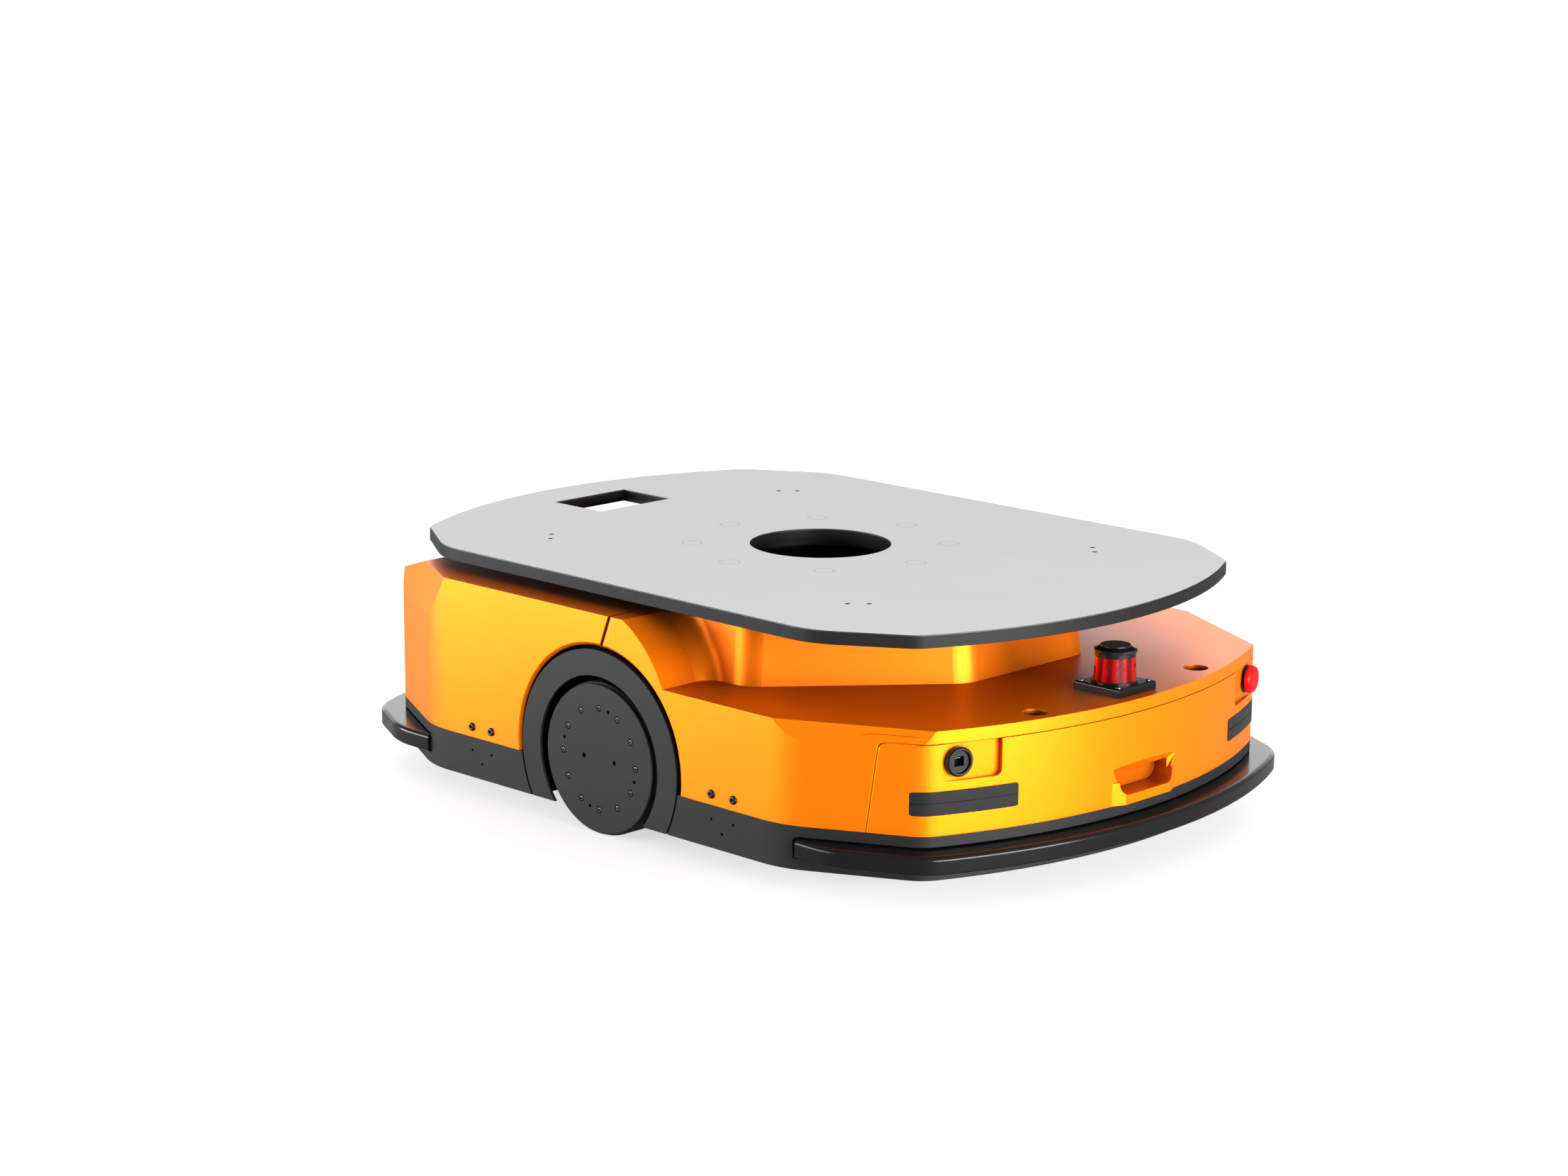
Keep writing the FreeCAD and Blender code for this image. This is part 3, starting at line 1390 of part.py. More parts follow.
def make_drive_unit(name, side):
    """A trailing arm with its geared motor, the hub, the tyre and the face screws."""
    turn = AXIS_TURN["y"] if side < 0 else Rotation(Vector(1, 0, 0), 90)

    def across(radius, length, x, z, reach):
        # the reach is measured from the middle of the body out to the rod's outer end
        start = reach - length if side > 0 else -reach
        return rod(radius, length, x, start, z, "y")

    outer = S.arm_outer
    plate = fuse(across(S.gearbox_radius + 8, S.arm_thick, 0, S.wheel_radius, outer),
                 across(S.arm_boss, S.arm_thick, S.pivot_x, S.pivot_z, outer),
                 box((0, S.pivot_x), ordered(side * (outer - S.arm_thick), side * outer),
                     (S.wheel_radius - 26, S.wheel_radius + 30)))
    spindle = across(S.spindle_radius, S.spindle_reach + 4, 0, S.wheel_radius,
                     outer + S.spindle_reach)
    boss = across(S.arm_boss, S.arm_thick + 10, S.pivot_x, S.pivot_z, outer)
    eye = across(S.pivot_radius + S.running_gap, 4 * OVERRUN, S.pivot_x, S.pivot_z,
                 outer + OVERRUN)
    node(cut(fuse(plate, spindle, boss), eye), "drive_arm_" + name)
    inner = outer - S.arm_thick
    gearbox = across(S.gearbox_radius, S.gearbox_length, 0, S.wheel_radius, inner)
    inner = inner - S.gearbox_length
    motor = across(S.drive_motor_radius, S.drive_motor_length, 0, S.wheel_radius, inner)
    inner = inner - S.drive_motor_length
    brake = across(S.drive_motor_radius - 8, 16.0, 0, S.wheel_radius, inner)
    node(fuse(gearbox, motor, brake), "drive_motor_" + name)
    pin = fuse(across(S.pivot_radius, outer - S.side_plate_y + 6, S.pivot_x, S.pivot_z, outer + 4),
               across(S.pivot_radius + 7, 4.0, S.pivot_x, S.pivot_z, outer + 4.2))
    node(pin, "pivot_pin_" + name)

    hub = turned_body("wheel_hub_" + name, [
        (S.spindle_radius + S.running_gap, S.face_thick + 3),
        (S.spindle_radius + S.running_gap, S.wheel_width),
        (S.hub_boss, S.wheel_width),
        (S.hub_boss, S.wheel_width - S.hub_hollow),
        (S.wheel_radius - S.tyre_depth - 8, S.wheel_width - S.hub_hollow),
        (S.wheel_radius - S.tyre_depth - 8, S.wheel_width),
        (S.wheel_radius - S.tyre_depth, S.wheel_width),
        (S.wheel_radius - S.tyre_depth, S.face_thick),
        (S.wheel_radius - S.tyre_lip, S.face_thick),
        (S.wheel_radius - S.tyre_lip, 1.2),
        (S.wheel_radius - S.tyre_lip - 1.2, 0),
        (0, 0),
        (0, S.face_thick + 3)])
    pocket_ring(hub, S.wheel_pcd / 2, S.wheel_screw_radius, S.wheel_screw_depth, 12, 0)
    pocket_ring(hub, S.wheel_pcd / 2, S.dowel_radius, S.hole_depth, 4, S.dowel_angle)
    puller_holes(hub)
    node(put(hub, 0, side * S.wheel_face, S.wheel_radius, turn), "wheel_hub_" + name)
    tyre = turned_body("wheel_tyre_" + name, [
        (S.wheel_radius - S.tyre_depth, S.face_thick),
        (S.wheel_radius - 1.5, S.face_thick),
        (S.wheel_radius, S.face_thick + 2),
        (S.wheel_radius, S.wheel_width - 3),
        (S.wheel_radius - 1.5, S.wheel_width - 1),
        (S.wheel_radius - S.tyre_depth, S.wheel_width - 1)])
    node(put(tyre, 0, side * S.wheel_face, S.wheel_radius, turn), "wheel_tyre_" + name)
    screws = []
    for step in range(12):
        angle = 30.0 * step
        reach = S.wheel_pcd / 2
        x = reach * math.cos(math.radians(angle))
        z = S.wheel_radius + reach * math.sin(math.radians(angle))
        head = across(S.wheel_screw_radius - 0.4, S.wheel_screw_depth - 0.3, x, z,
                      S.wheel_face - 0.3)
        screws.append(head)
    node(group(*screws), "wheel_screws_" + name)


def body_plane(body, role):
    for feature in body.Origin.OriginFeatures:
        if feature.Role == role:
            return feature
    raise RuntimeError("no plane " + role)


def body_sketch(body, role, name):
    sketch = body.newObject("Sketcher::SketchObject", name)
    sketch.AttachmentSupport = (body_plane(body, role), [""])
    sketch.MapMode = "FlatFace"
    return sketch


def turned_body(name, profile):
    """A body of revolution about its own Z from (radius, height) corners."""
    body = DOC.addObject("PartDesign::Body", name)
    sketch = body_sketch(body, "XZ_Plane", "Profile")
    polygon(sketch, profile)
    turn = body.newObject("PartDesign::Revolution", "Turned")
    turn.Profile = sketch
    turn.ReferenceAxis = (sketch, ["V_Axis"])
    turn.Angle = 360.0
    DOC.recompute()
    return body


def sunk(body, sketch, depth):
    """Sinks a sketch on the body's face at height zero into it."""
    hole = body.newObject("PartDesign::Pocket", "Seat")
    hole.Profile = sketch
    bind(hole, "Length", depth)
    hole.Reversed = True
    DOC.recompute()
    return hole


def pocket_ring(body, reach, radius, depth, count, angle):
    """A ring of blind holes that starts at an angle from the body's X."""
    before = body.Shape.Volume
    sketch = body_sketch(body, "XY_Plane", "HoleSketch")
    circle(sketch, reach * cosine(angle), reach * sine(angle) + 0.0001, radius)
    hole = sunk(body, sketch, depth)
    ring = body.newObject("PartDesign::PolarPattern", "HoleRing")
    ring.Originals = [hole]
    ring.Axis = (sketch, ["N_Axis"])
    ring.Angle = 360.0
    ring.Occurrences = count
    body.Tip = ring
    DOC.recompute()
    if not ring.Shape.Volume < before - 1:
        raise RuntimeError("the holes cut nothing")


def puller_holes(body):
    """A round and a square hole, level with the hub's centre."""
    sketch = body_sketch(body, "XY_Plane", "PullerSketch")
    circle(sketch, -S.puller_reach, 0.0001, S.puller_radius)
    half = S.puller_side / 2
    low, high = S.puller_reach - half, S.puller_reach + half
    polygon(sketch, [(low, -half), (high, -half), (high, half), (low, half)])
    body.Tip = sunk(body, sketch, S.hole_depth)


def make_casters():
    plates = []
    for sign_x in (1, -1):
        for sign_y in (1, -1):
            x = sign_x * S.caster_x
            y = sign_y * S.caster_y
            low = S.caster_plate_low
            plate = box((x - 40, x + 40), (y - 35, y + 35), (low, low + S.caster_plate_thick))
            bore = rod(S.kingpin_radius + S.running_gap, 40.0, x, y, low - 10)
            plates.append(cut(plate, bore))
            name = ("front" if sign_x > 0 else "rear") + ("_left" if sign_y > 0 else "_right")
            make_caster(name, x, y)
    node(group(*plates), "caster_plates")


def make_caster(name, x, y):
    """A fork that swivels on its kingpin and a wheel that trails behind it."""
    low = S.caster_plate_low
    wheel_x = x - S.caster_trail
    half = S.caster_width / 2 + 1.5
    crown_low = 2 * S.caster_radius + 4
    crown = rod(24.0, low - crown_low, x, y, crown_low)
    bridge = box((wheel_x - 14, x + 16), (y - half - S.caster_leg, y + half + S.caster_leg),
                 (crown_low, crown_low + 5))
    pin = rod(S.kingpin_radius, S.caster_plate_thick, x, y, low)
    legs = []
    for side in (1, -1):
        legs.append(box((wheel_x - 12, wheel_x + 16),
                        ordered(y + side * half, y + side * (half + S.caster_leg)),
                        (S.caster_radius, crown_low + 1)))
        legs.append(rod(12.0, S.caster_leg, wheel_x,
                        y + half if side > 0 else y - half - S.caster_leg,
                        S.caster_radius, "y"))
    axle = rod(S.caster_axle, 2 * (half + S.caster_leg) + 6, wheel_x,
               y - half - S.caster_leg - 3, S.caster_radius, "y")
    node(fuse(crown, bridge, pin, axle, *legs), "caster_fork_" + name)
    width = S.caster_width
    wheel = turned_body("caster_wheel_" + name, [
        (S.caster_axle + S.running_gap, 0), (13.0, 0), (15.0, 5.0),
        (S.caster_radius - 9, 5.0), (S.caster_radius - 9, 1.0), (S.caster_radius - 2, 1.0),
        (S.caster_radius, 4.0), (S.caster_radius, width - 4), (S.caster_radius - 2, width - 1),
        (S.caster_radius - 9, width - 1), (S.caster_radius - 9, width - 5), (15.0, width - 5),
        (13.0, width), (S.caster_axle + S.running_gap, width)])
    node(put(wheel, wheel_x, y - width / 2, S.caster_radius, AXIS_TURN["y"]),
         "caster_wheel_" + name)


# ---- lamp, button and port ---------------------------------------------------------

def make_beacon():
    low = S.deck_top
    half = S.beacon_side / 2
    top = low + S.beacon_base_height
    base = box((S.beacon_x - half, S.beacon_x + half), (-half, half), (low, top))
    base = rounded(base, 2.5, lambda edge: edge.BoundBox.ZLength < 1
                   and edge.BoundBox.ZMin > S.deck_top.value + 1)
    plinth = rod(S.lens_radius + 3, 3.0, S.beacon_x, 0, top - 0.5)
    node(fuse(base, plinth), "beacon_base")
    start = top + 2.5
    lens = turned_body("beacon_lens", [
        (S.lens_radius - S.lens_wall, 0), (S.lens_radius, 0),
        (S.lens_radius - 1.5, S.lens_height), (S.lens_radius - S.lens_wall - 1.5, S.lens_height)])
    node(put(lens, S.beacon_x, 0, start), "beacon_lens")
    core = fuse(rod(9.0, S.lens_height, S.beacon_x, 0, start),
                rod(14.0, 5.0, S.beacon_x, 0, start + 12))
    node(core, "beacon_lamp")
    high = start + S.lens_height
    rim = DOC.addObject("Part::Prism", "CapRim")
    rim.Polygon = 12
    bind(rim, "Circumradius", S.cap_radius)
    bind(rim, "Height", S.cap_rim)
    put(rim, S.beacon_x, 0, high + S.cap_band)
    slope = S.cap_height - S.cap_band - S.cap_rim - S.cap_disc_high
    node(fuse(rod(S.cap_radius - 1.5, S.cap_band + 1, S.beacon_x, 0, high), rim,
              cone(S.cap_radius - 1.5, S.cap_disc + 1, slope, S.beacon_x, 0,
                   high + S.cap_band + S.cap_rim),
              rod(S.cap_disc, S.cap_disc_high + 1, S.beacon_x, 0,
                  high + S.cap_height - S.cap_disc_high - 1)), "beacon_cap")


def on_recess(item, side):
    """Puts a piece made along its own Z on a recess floor, pointing out."""
    turn = recess_frame(side).multiply(AXIS_TURN["x"])
    return put(item, S.port_x, side * S.port_y, S.port_z, turn)


def make_port():
    shell_body = turned_body("PortShell", [
        (0, -12.0), (S.socket_side, -12.0), (S.socket_side, 0), (S.port_radius, 0),
        (S.port_radius, S.port_height - 2), (S.port_radius - 2, S.port_height),
        (S.port_radius - 4, S.port_height), (S.port_radius - 5, S.port_height - 4),
        (0, S.port_height - 4)])
    half = S.socket_side / 2
    slot = box((-half + 0.5, half - 0.5), (-half, half), (-9.0, 40.0))
    both = cut(shell_body, slot)
    node(on_recess(both, -1), "network_port")


def make_stop_button():
    thick = S.collar_thick
    collar = turned_body("stop_collar", [
        (S.stem_radius + S.running_gap, -14.0), (S.stem_radius + 4, -14.0),
        (S.stem_radius + 4, 0), (S.port_radius, 0), (S.port_radius, thick / 2),
        (S.port_radius - 1, thick), (S.stem_radius + S.running_gap, thick)])
    node(on_recess(collar, 1), "stop_collar")
    lift = thick + S.button_travel + S.button_gap
    stem = turned_body("stop_stem", [
        (0, -13.0), (S.stem_radius, -13.0), (S.stem_radius, lift + 4), (0, lift + 4)])
    node(on_recess(stem, 1), "stop_stem")
    high = lift + S.button_height
    button = turned_body("stop_button", [
        (S.stem_radius, lift), (S.button_radius - 1.5, lift), (S.button_radius, lift + 2),
        (S.button_radius, high - 4), (S.button_radius - 2, high - 1),
        (S.button_radius - 6, high), (0, high), (0, lift + 4), (S.stem_radius, lift + 4)])
    node(on_recess(button, 1), "stop_button")


# ---- checks and export -------------------------------------------------------

def write_parts():
    DOC.recompute()
    for item in DOC.Objects:
        if "Invalid" in item.State or "Error" in item.State:
            raise RuntimeError("failed object: %s %s" % (item.Name, item.Label))
    os.makedirs("parts", exist_ok=True)
    for item in NODES:
        shape = item.Shape
        if shape.isNull() or not shape.isValid() or not shape.Solids:
            raise RuntimeError("bad shape: " + item.Label)
        shape.exportStep(os.path.join("parts", item.Label + ".step"))


make_sheet()
make_front_cover()
make_rear_cover()
make_front_panel()
make_lamps()
for end_name, end_sign in ENDS:
    make_skirt(end_name + "_skirt", end_sign)
    make_bumper(end_name + "_bumper", end_sign)
for side_name, side_sign in SIDES:
    make_arch_ring("arch_ring_" + side_name, side_sign)
make_cover_screws()
make_platform()
make_turntable()
make_lift_frame()
make_turn_drive()
make_lift_drives()
make_chassis()
make_packs()
make_cameras()
for side_name, side_sign in SIDES:
    make_drive_unit(side_name, side_sign)
make_casters()
make_beacon()
make_port()
make_stop_button()
write_parts()
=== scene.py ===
"""Looks for an autonomous mobile robot that lifts and turns a rack.

The frame's +X is forward, +Y is left and +Z is up, in metres from the floor
point midway between the two drive wheels.
"""

import math

import bpy
from bpy.props import FloatProperty, FloatVectorProperty, IntProperty, PointerProperty
from bpy.types import Operator, Panel, PropertyGroup
from mathutils import Matrix, Vector


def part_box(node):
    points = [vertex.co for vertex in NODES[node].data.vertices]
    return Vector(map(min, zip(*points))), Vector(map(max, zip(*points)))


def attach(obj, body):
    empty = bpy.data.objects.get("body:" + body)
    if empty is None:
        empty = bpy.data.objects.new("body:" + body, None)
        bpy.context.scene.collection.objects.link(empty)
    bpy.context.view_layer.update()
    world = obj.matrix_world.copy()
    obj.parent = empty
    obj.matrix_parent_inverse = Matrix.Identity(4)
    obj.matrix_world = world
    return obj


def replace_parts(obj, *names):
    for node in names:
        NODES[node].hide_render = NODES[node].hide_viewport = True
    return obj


bl_info = {
    "name": "Mobile Robot Looks",
    "version": (1, 0, 0),
    "blender": (4, 5, 0),
    "location": "View3D > Sidebar > Robot",
    "description": "Materials, small parts and a studio for a lifting mobile robot",
    "category": "Object",
}

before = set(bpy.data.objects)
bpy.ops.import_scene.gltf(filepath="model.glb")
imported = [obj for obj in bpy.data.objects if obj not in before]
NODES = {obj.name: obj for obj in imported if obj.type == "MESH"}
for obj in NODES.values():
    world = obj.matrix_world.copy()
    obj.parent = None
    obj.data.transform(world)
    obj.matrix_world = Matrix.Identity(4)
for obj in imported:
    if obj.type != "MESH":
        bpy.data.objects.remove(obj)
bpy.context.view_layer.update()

SIDES = (("left", 1), ("right", -1))
MM = 0.001

HOLE_PAIR = (205 * MM, 243 * MM)
HOLE_HEIGHT = 65 * MM
THIRD_HOLE = (223 * MM, 49 * MM)
HOLE_RADIUS = 1.9 * MM
COVER_SCREW_STEP = 38 * MM
WHEEL_SCREWS = 12
WHEEL_SEAT = 4.2 * MM
PROUD = 0.1 * MM
PORT_TURN = math.radians(-16.0)
BOX_DISTANCE = 3.0
BOX_HEIGHT = 0.42
BOX_DEPTH = 0.8
AIM_HEIGHT = 0.15
FLOOR_HALF = 30.0


def span(node):
    """A node's low corner, high corner and middle."""
    low, high = (Vector(corner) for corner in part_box(node))
    return low, high, (low + high) / 2


def colour_prop(name, value, text):
    return FloatVectorProperty(name=name, description=text, subtype="COLOR", size=3,
                               min=0.0, max=1.0, default=value)


def length_prop(name, value, text):
    return FloatProperty(name=name, description=text, unit="LENGTH", min=0.0,
                         default=value, precision=4)


# ---- materials -----------------------------------------------------------------

class Shader:
    """A node material built up step by step."""

    def __init__(self, name):
        self.material = bpy.data.materials.new(name)
        self.material.use_nodes = True
        self.tree = self.material.node_tree
        self.base = self.tree.nodes["Principled BSDF"]
        self.place = self.tree.nodes.new("ShaderNodeTexCoord").outputs["Object"]

    def node(self, kind, **values):
        fresh = self.tree.nodes.new("ShaderNode" + kind)
        for name, value in values.items():
            setattr(fresh, name, value)
        return fresh

    def feed(self, socket, value):
        if isinstance(value, bpy.types.NodeSocket):
            self.tree.links.new(value, socket)
        else:
            socket.default_value = value

    def set(self, **values):
        for name, value in values.items():
            self.feed(self.base.inputs[name.replace("_", " ")], value)
        return self

    def noise(self, scale, detail=3.0, stretch=(1, 1, 1)):
        mapping = self.node("Mapping")
        self.feed(mapping.inputs["Vector"], self.place)
        mapping.inputs["Scale"].default_value = stretch
        noise = self.node("TexNoise")
        self.feed(noise.inputs["Vector"], mapping.outputs["Vector"])
        noise.inputs["Scale"].default_value = scale
        noise.inputs["Detail"].default_value = detail
        return noise.outputs["Fac"]

    def ramp(self, value, low, high, start=0.3, end=0.7):
        ranged = self.node("MapRange")
        self.feed(ranged.inputs["Value"], value)
        ranged.inputs["From Min"].default_value = start
        ranged.inputs["From Max"].default_value = end
        ranged.inputs["To Min"].default_value = low
        ranged.inputs["To Max"].default_value = high
        return ranged.outputs["Result"]

    def math(self, operation, first, second=0.0):
        made = self.node("Math", operation=operation)
        self.feed(made.inputs[0], first)
        self.feed(made.inputs[1], second)
        return made.outputs["Value"]

    def blend(self, factor, first, second):
        mixed = self.node("Mix", data_type="RGBA")
        self.feed(mixed.inputs["Factor"], factor)
        self.feed(mixed.inputs["A"], first)
        self.feed(mixed.inputs["B"], second)
        return mixed.outputs["Result"]

    def bump(self, height, depth, round_edge=0.0):
        bump = self.node("Bump")
        bump.inputs["Distance"].default_value = depth
        self.feed(bump.inputs["Height"], height)
        if round_edge:
            bevel = self.node("Bevel", samples=6)
            bevel.inputs["Radius"].default_value = round_edge
            self.feed(bump.inputs["Normal"], bevel.outputs["Normal"])
        self.feed(self.base.inputs["Normal"], bump.outputs["Normal"])
        return self


def rgba(colour, shade=1.0):
    return (colour[0] * shade, colour[1] * shade, colour[2] * shade, 1.0)


def moulded(name, colour, rough, grain=900.0, depth=0.00003, coat=0.0, edge=0.0008,
            uneven=0.08, shade=0.9, metal=0.0, shine=0.25):
    """Plastic or paint: a faint orange-peel or spark-eroded grain over soft edges."""
    look = Shader(name)
    wide = look.noise(7.0)
    fine = look.noise(grain, 2.0)
    look.set(Base_Color=look.blend(look.ramp(wide, 0.0, 1.0), rgba(colour, shade), rgba(colour)),
             Roughness=look.ramp(fine, rough - uneven / 2, rough + uneven / 2),
             Coat_Weight=coat, Coat_Roughness=0.06, Metallic=metal, Specular_IOR_Level=shine)
    return look.bump(fine, depth, edge).material


def machined(name, colour, rough, stretch=(1, 1, 18), scale=220.0, edge=0.0005):
    """Bare metal with brushed streaks along one axis."""
    look = Shader(name)
    streaks = look.noise(scale, 3.0, stretch)
    wide = look.noise(9.0)
    look.set(Base_Color=look.blend(look.ramp(wide, 0.0, 1.0), rgba(colour, 0.82), rgba(colour)),
             Metallic=1.0, Roughness=look.ramp(streaks, rough - 0.07, rough + 0.1))
    return look.bump(streaks, 0.00002, edge).material


def clear_red(name, colour, middle, flutes=12):
    """Tinted clear plastic with flutes that run up the lens, with painted shade between the flutes and a
    painted glow that is brighter along them.
    """
    look = Shader(name)
    split = look.node("SeparateXYZ")
    look.feed(split.inputs["Vector"], look.place)
    angle = look.math("ARCTAN2", look.math("SUBTRACT", split.outputs["Y"], middle.y),
                      look.math("SUBTRACT", split.outputs["X"], middle.x))
    wave = look.math("SINE", look.math("MULTIPLY", angle, flutes))
    grain = look.noise(500.0)
    # The colour darkens between the flutes as painted shade, and the glow, which no lamp gives, is a
    # painted highlight that brightens along the flutes.
    look.set(Base_Color=look.blend(look.ramp(wave, 0.0, 1.0, -0.6, 0.9),
                                   rgba(colour, 0.6), rgba(colour)),
             Transmission_Weight=0.9, IOR=1.25, Roughness=look.ramp(grain, 0.05, 0.12),
             Specular_IOR_Level=0.3, Emission_Color=rgba(colour),
             Emission_Strength=look.ramp(wave, 0.08, 0.35, -0.6, 1.0))
    return look.bump(wave, 0.0003).material


def dress(material, *nodes):
    for name in nodes:
        mesh = NODES[name].data
        mesh.materials.clear()
        mesh.materials.append(material)


# ---- small solids --------------------------------------------------------------

class Solids:
    """Collects closed skins, and turns them into one object."""

    def __init__(self):
        self.points = []
        self.faces = []

    def skin(self, rings, frame, sides=24):
        """Rings of (radius, height, corners), skinned in turn and closed by two caps.

        A ring with corners is a regular polygon, and one with none is a circle.
        """
        start = len(self.points)
        for radius, height, corners in rings:
            for step in range(sides):
                angle = 2 * math.pi * step / sides
                reach = radius
                if corners:
                    part = 2 * math.pi / corners
                    reach *= math.cos(part / 2) / math.cos(angle % part - part / 2)
                local = Vector((reach * math.cos(angle), reach * math.sin(angle), height))
                self.points.append(frame @ local)
        for ring in range(len(rings) - 1):
            low = start + ring * sides
            for step in range(sides):
                after = (step + 1) % sides
                self.faces.append((low + step, low + after,
                                   low + sides + after, low + sides + step))
        self.faces.append(tuple(reversed(range(start, start + sides))))
        last = start + (len(rings) - 1) * sides
        self.faces.append(tuple(range(last, last + sides)))

    def block(self, low, high, frame=Matrix()):
        start = len(self.points)
        for x in (low[0], high[0]):
            for y in (low[1], high[1]):
                for z in (low[2], high[2]):
                    self.points.append(frame @ Vector((x, y, z)))
        for face in ((0, 1, 3, 2), (4, 6, 7, 5), (0, 4, 5, 1), (2, 3, 7, 6), (0, 2, 6, 4), (1, 5, 7, 3)):
            self.faces.append(tuple(start + corner for corner in face))

    def build(self, name, body, material, slot, smooth=35.0):
        mesh = bpy.data.meshes.new(name)
        mesh.from_pydata(self.points, [], self.faces)
        mesh.materials.append(material)
        mesh.validate()
        mesh.shade_smooth()
        mesh.set_sharp_from_angle(angle=math.radians(smooth))
        item = bpy.data.objects.new(name, mesh)
        bpy.context.scene.collection.objects.link(item)
        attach(item, body)
        return item


def facing(place, axis):
    """A frame at a place whose Z points along the axis."""
    turn = Vector(axis).to_track_quat("Z", "Y").to_matrix().to_4x4()
    return Matrix.Translation(Vector(place)) @ turn


def socket_screw(radius, height, sink, key):
    """Rings of a round-headed screw with a hexagonal socket, from its seat up."""
    return [
        (radius, -sink, 0), (radius, height * 0.35, 0), (radius * 0.9, height * 0.75, 0),
        (radius * 0.68, height, 0), (key * 1.18, height, 0), (key, height * 0.9, 6),
        (key, height * 0.9 - key, 6), (key * 0.5, height * 0.9 - key * 1.2, 0)]


def flat_screw(radius, depth, key):
    """Rings of a countersunk screw with a hexagonal socket, flush with height zero."""
    return [
        (radius * 0.55, -depth, 0), (radius, -0.2 * MM, 0), (radius * 0.96, 0.0, 0),
        (key * 1.15, 0.0, 0), (key, -0.15 * MM, 6), (key, -depth * 0.6, 6),
        (key * 0.4, -depth * 0.75, 0)]


# ---- settings ------------------------------------------------------------------

class RobotLook(PropertyGroup):
    paint: colour_prop("Paint", (0.86, 0.168, 0.0008), "Metallic paint of the moulded covers")
    plastic: colour_prop("Plastic", (0.011, 0.011, 0.0112), "Skirts, wheel arches and wheel discs")
    lens_grey: colour_prop("Lamp", (0.012, 0.012, 0.0125), "Smoked strips at the corners")
    rubber: colour_prop("Rubber", (0.005, 0.005, 0.0052), "Safety bumpers and tyres")
    mat: colour_prop("Mat", (0.62, 0.611, 0.615), "Top face of the load plate")
    core: colour_prop("Plate Edge", (0.01, 0.01, 0.01), "Sides of the load plate")
    black: colour_prop("Black", (0.004, 0.004, 0.0042), "Small black parts")
    red: colour_prop("Red", (0.55, 0.005, 0.006), "Beacon lens and stop button")
    steel: colour_prop("Steel", (0.55, 0.55, 0.57), "Plated steel")
    gold: colour_prop("Contacts", (0.9, 0.62, 0.22), "Contacts of the network port")
    shade_reach: length_prop("Shade Reach", 0.13, "How near a surface has to be to darken the paint")
    edge: length_prop("Edge", 0.0012, "Softening radius of the cover edges")
    wheel_key: length_prop("Wheel Key", 0.0019, "Socket radius of the wheel screws")
    cover_key: length_prop("Cover Key", 0.0022, "Socket radius of the cover screws")
    plate_ring: length_prop("Plate Ring", 0.172, "Radius of the ring of plugs in the load plate")
    plate_plug: length_prop("Plate Plug", 0.0133, "Radius of a plug in the load plate")
    plate_line: length_prop("Plate Line", 0.0006, "Width of the line around a plug")
    contacts: IntProperty(name="Contacts", description="Contacts in the port", default=8, min=2)


class RobotStage(PropertyGroup):
    azimuth: FloatProperty(name="Azimuth", description="Camera's turn around the robot from "
                           "its right side", subtype="ANGLE", default=math.radians(44.01))
    elevation: FloatProperty(name="Elevation", description="Camera's height angle",
                             subtype="ANGLE", default=math.radians(12.69))
    roll: FloatProperty(name="Roll", description="Camera's roll", subtype="ANGLE",
                        default=math.radians(0.404))
    place: FloatVectorProperty(name="Camera", description="Camera's place", subtype="XYZ",
                               unit="LENGTH", default=(3.1000, -3.2787, 1.2753))
    lens: FloatProperty(name="Lens", description="Focal length in millimetres", default=79.0,
                        min=10.0)
    world: FloatProperty(name="Backdrop", description="Strength of the backdrop beyond the "
                         "robot, as its reflections see it", default=2.6, min=0.0)
    gloom: FloatProperty(name="Gloom", description="Strength of the surround behind the camera",
                         default=0.45, min=0.0)
    left: FloatProperty(name="Left Box", description="Power of the soft box beside the right wheel",
                        unit="POWER", default=175.0, min=0.0)
    right: FloatProperty(name="Right Box", description="Power of the soft box before the nose",
                         unit="POWER", default=235.0, min=0.0)
    floor: colour_prop("Floor", (0.4, 0.4, 0.4), "Pale floor")
    glow: FloatProperty(name="Floor Glow", description="Glow of the floor that only the camera sees",
                        default=0.63, min=0.0)


class Piece:
    """What every operator here shares."""

    bl_options = {"REGISTER", "UNDO"}

    def execute(self, context):
        self.build(context.scene.robot_look)
        return {"FINISHED"}


# ---- pieces --------------------------------------------------------------------

class ROBOT_OT_covers(Piece, Operator):
    """Paint the covers and the front panel"""
    bl_idname = "robot.covers"
    bl_label = "Covers"

    def build(self, look):
        dress(self.paint(look), "front_cover", "rear_cover", "front_panel")

    def paint(self, look):
        """Metallic paint with painted shade that darkens it where other surfaces are near."""
        paint = Shader("cover paint")
        wide = paint.noise(5.0)
        fine = paint.noise(1400.0, 2.0)
        # Ambient occlusion masks the painted shade: creases, gaps and recesses of the covers go near
        # black.
        crevice_shade = paint.node("AmbientOcclusion", samples=8)
        crevice_shade.inputs["Distance"].default_value = look.shade_reach
        body = paint.blend(paint.ramp(wide, 0.0, 1.0), rgba(look.paint, 0.93), rgba(look.paint))
        paint.set(Base_Color=paint.blend(paint.ramp(crevice_shade.outputs["AO"], 0.0, 1.0, 0.05, 0.75),
                                         rgba(look.paint, 0.03), body),
                  Metallic=0.6, Roughness=paint.ramp(fine, 0.36, 0.43), Specular_IOR_Level=0.12)
        return paint.bump(fine, 0.00001, look.edge).material


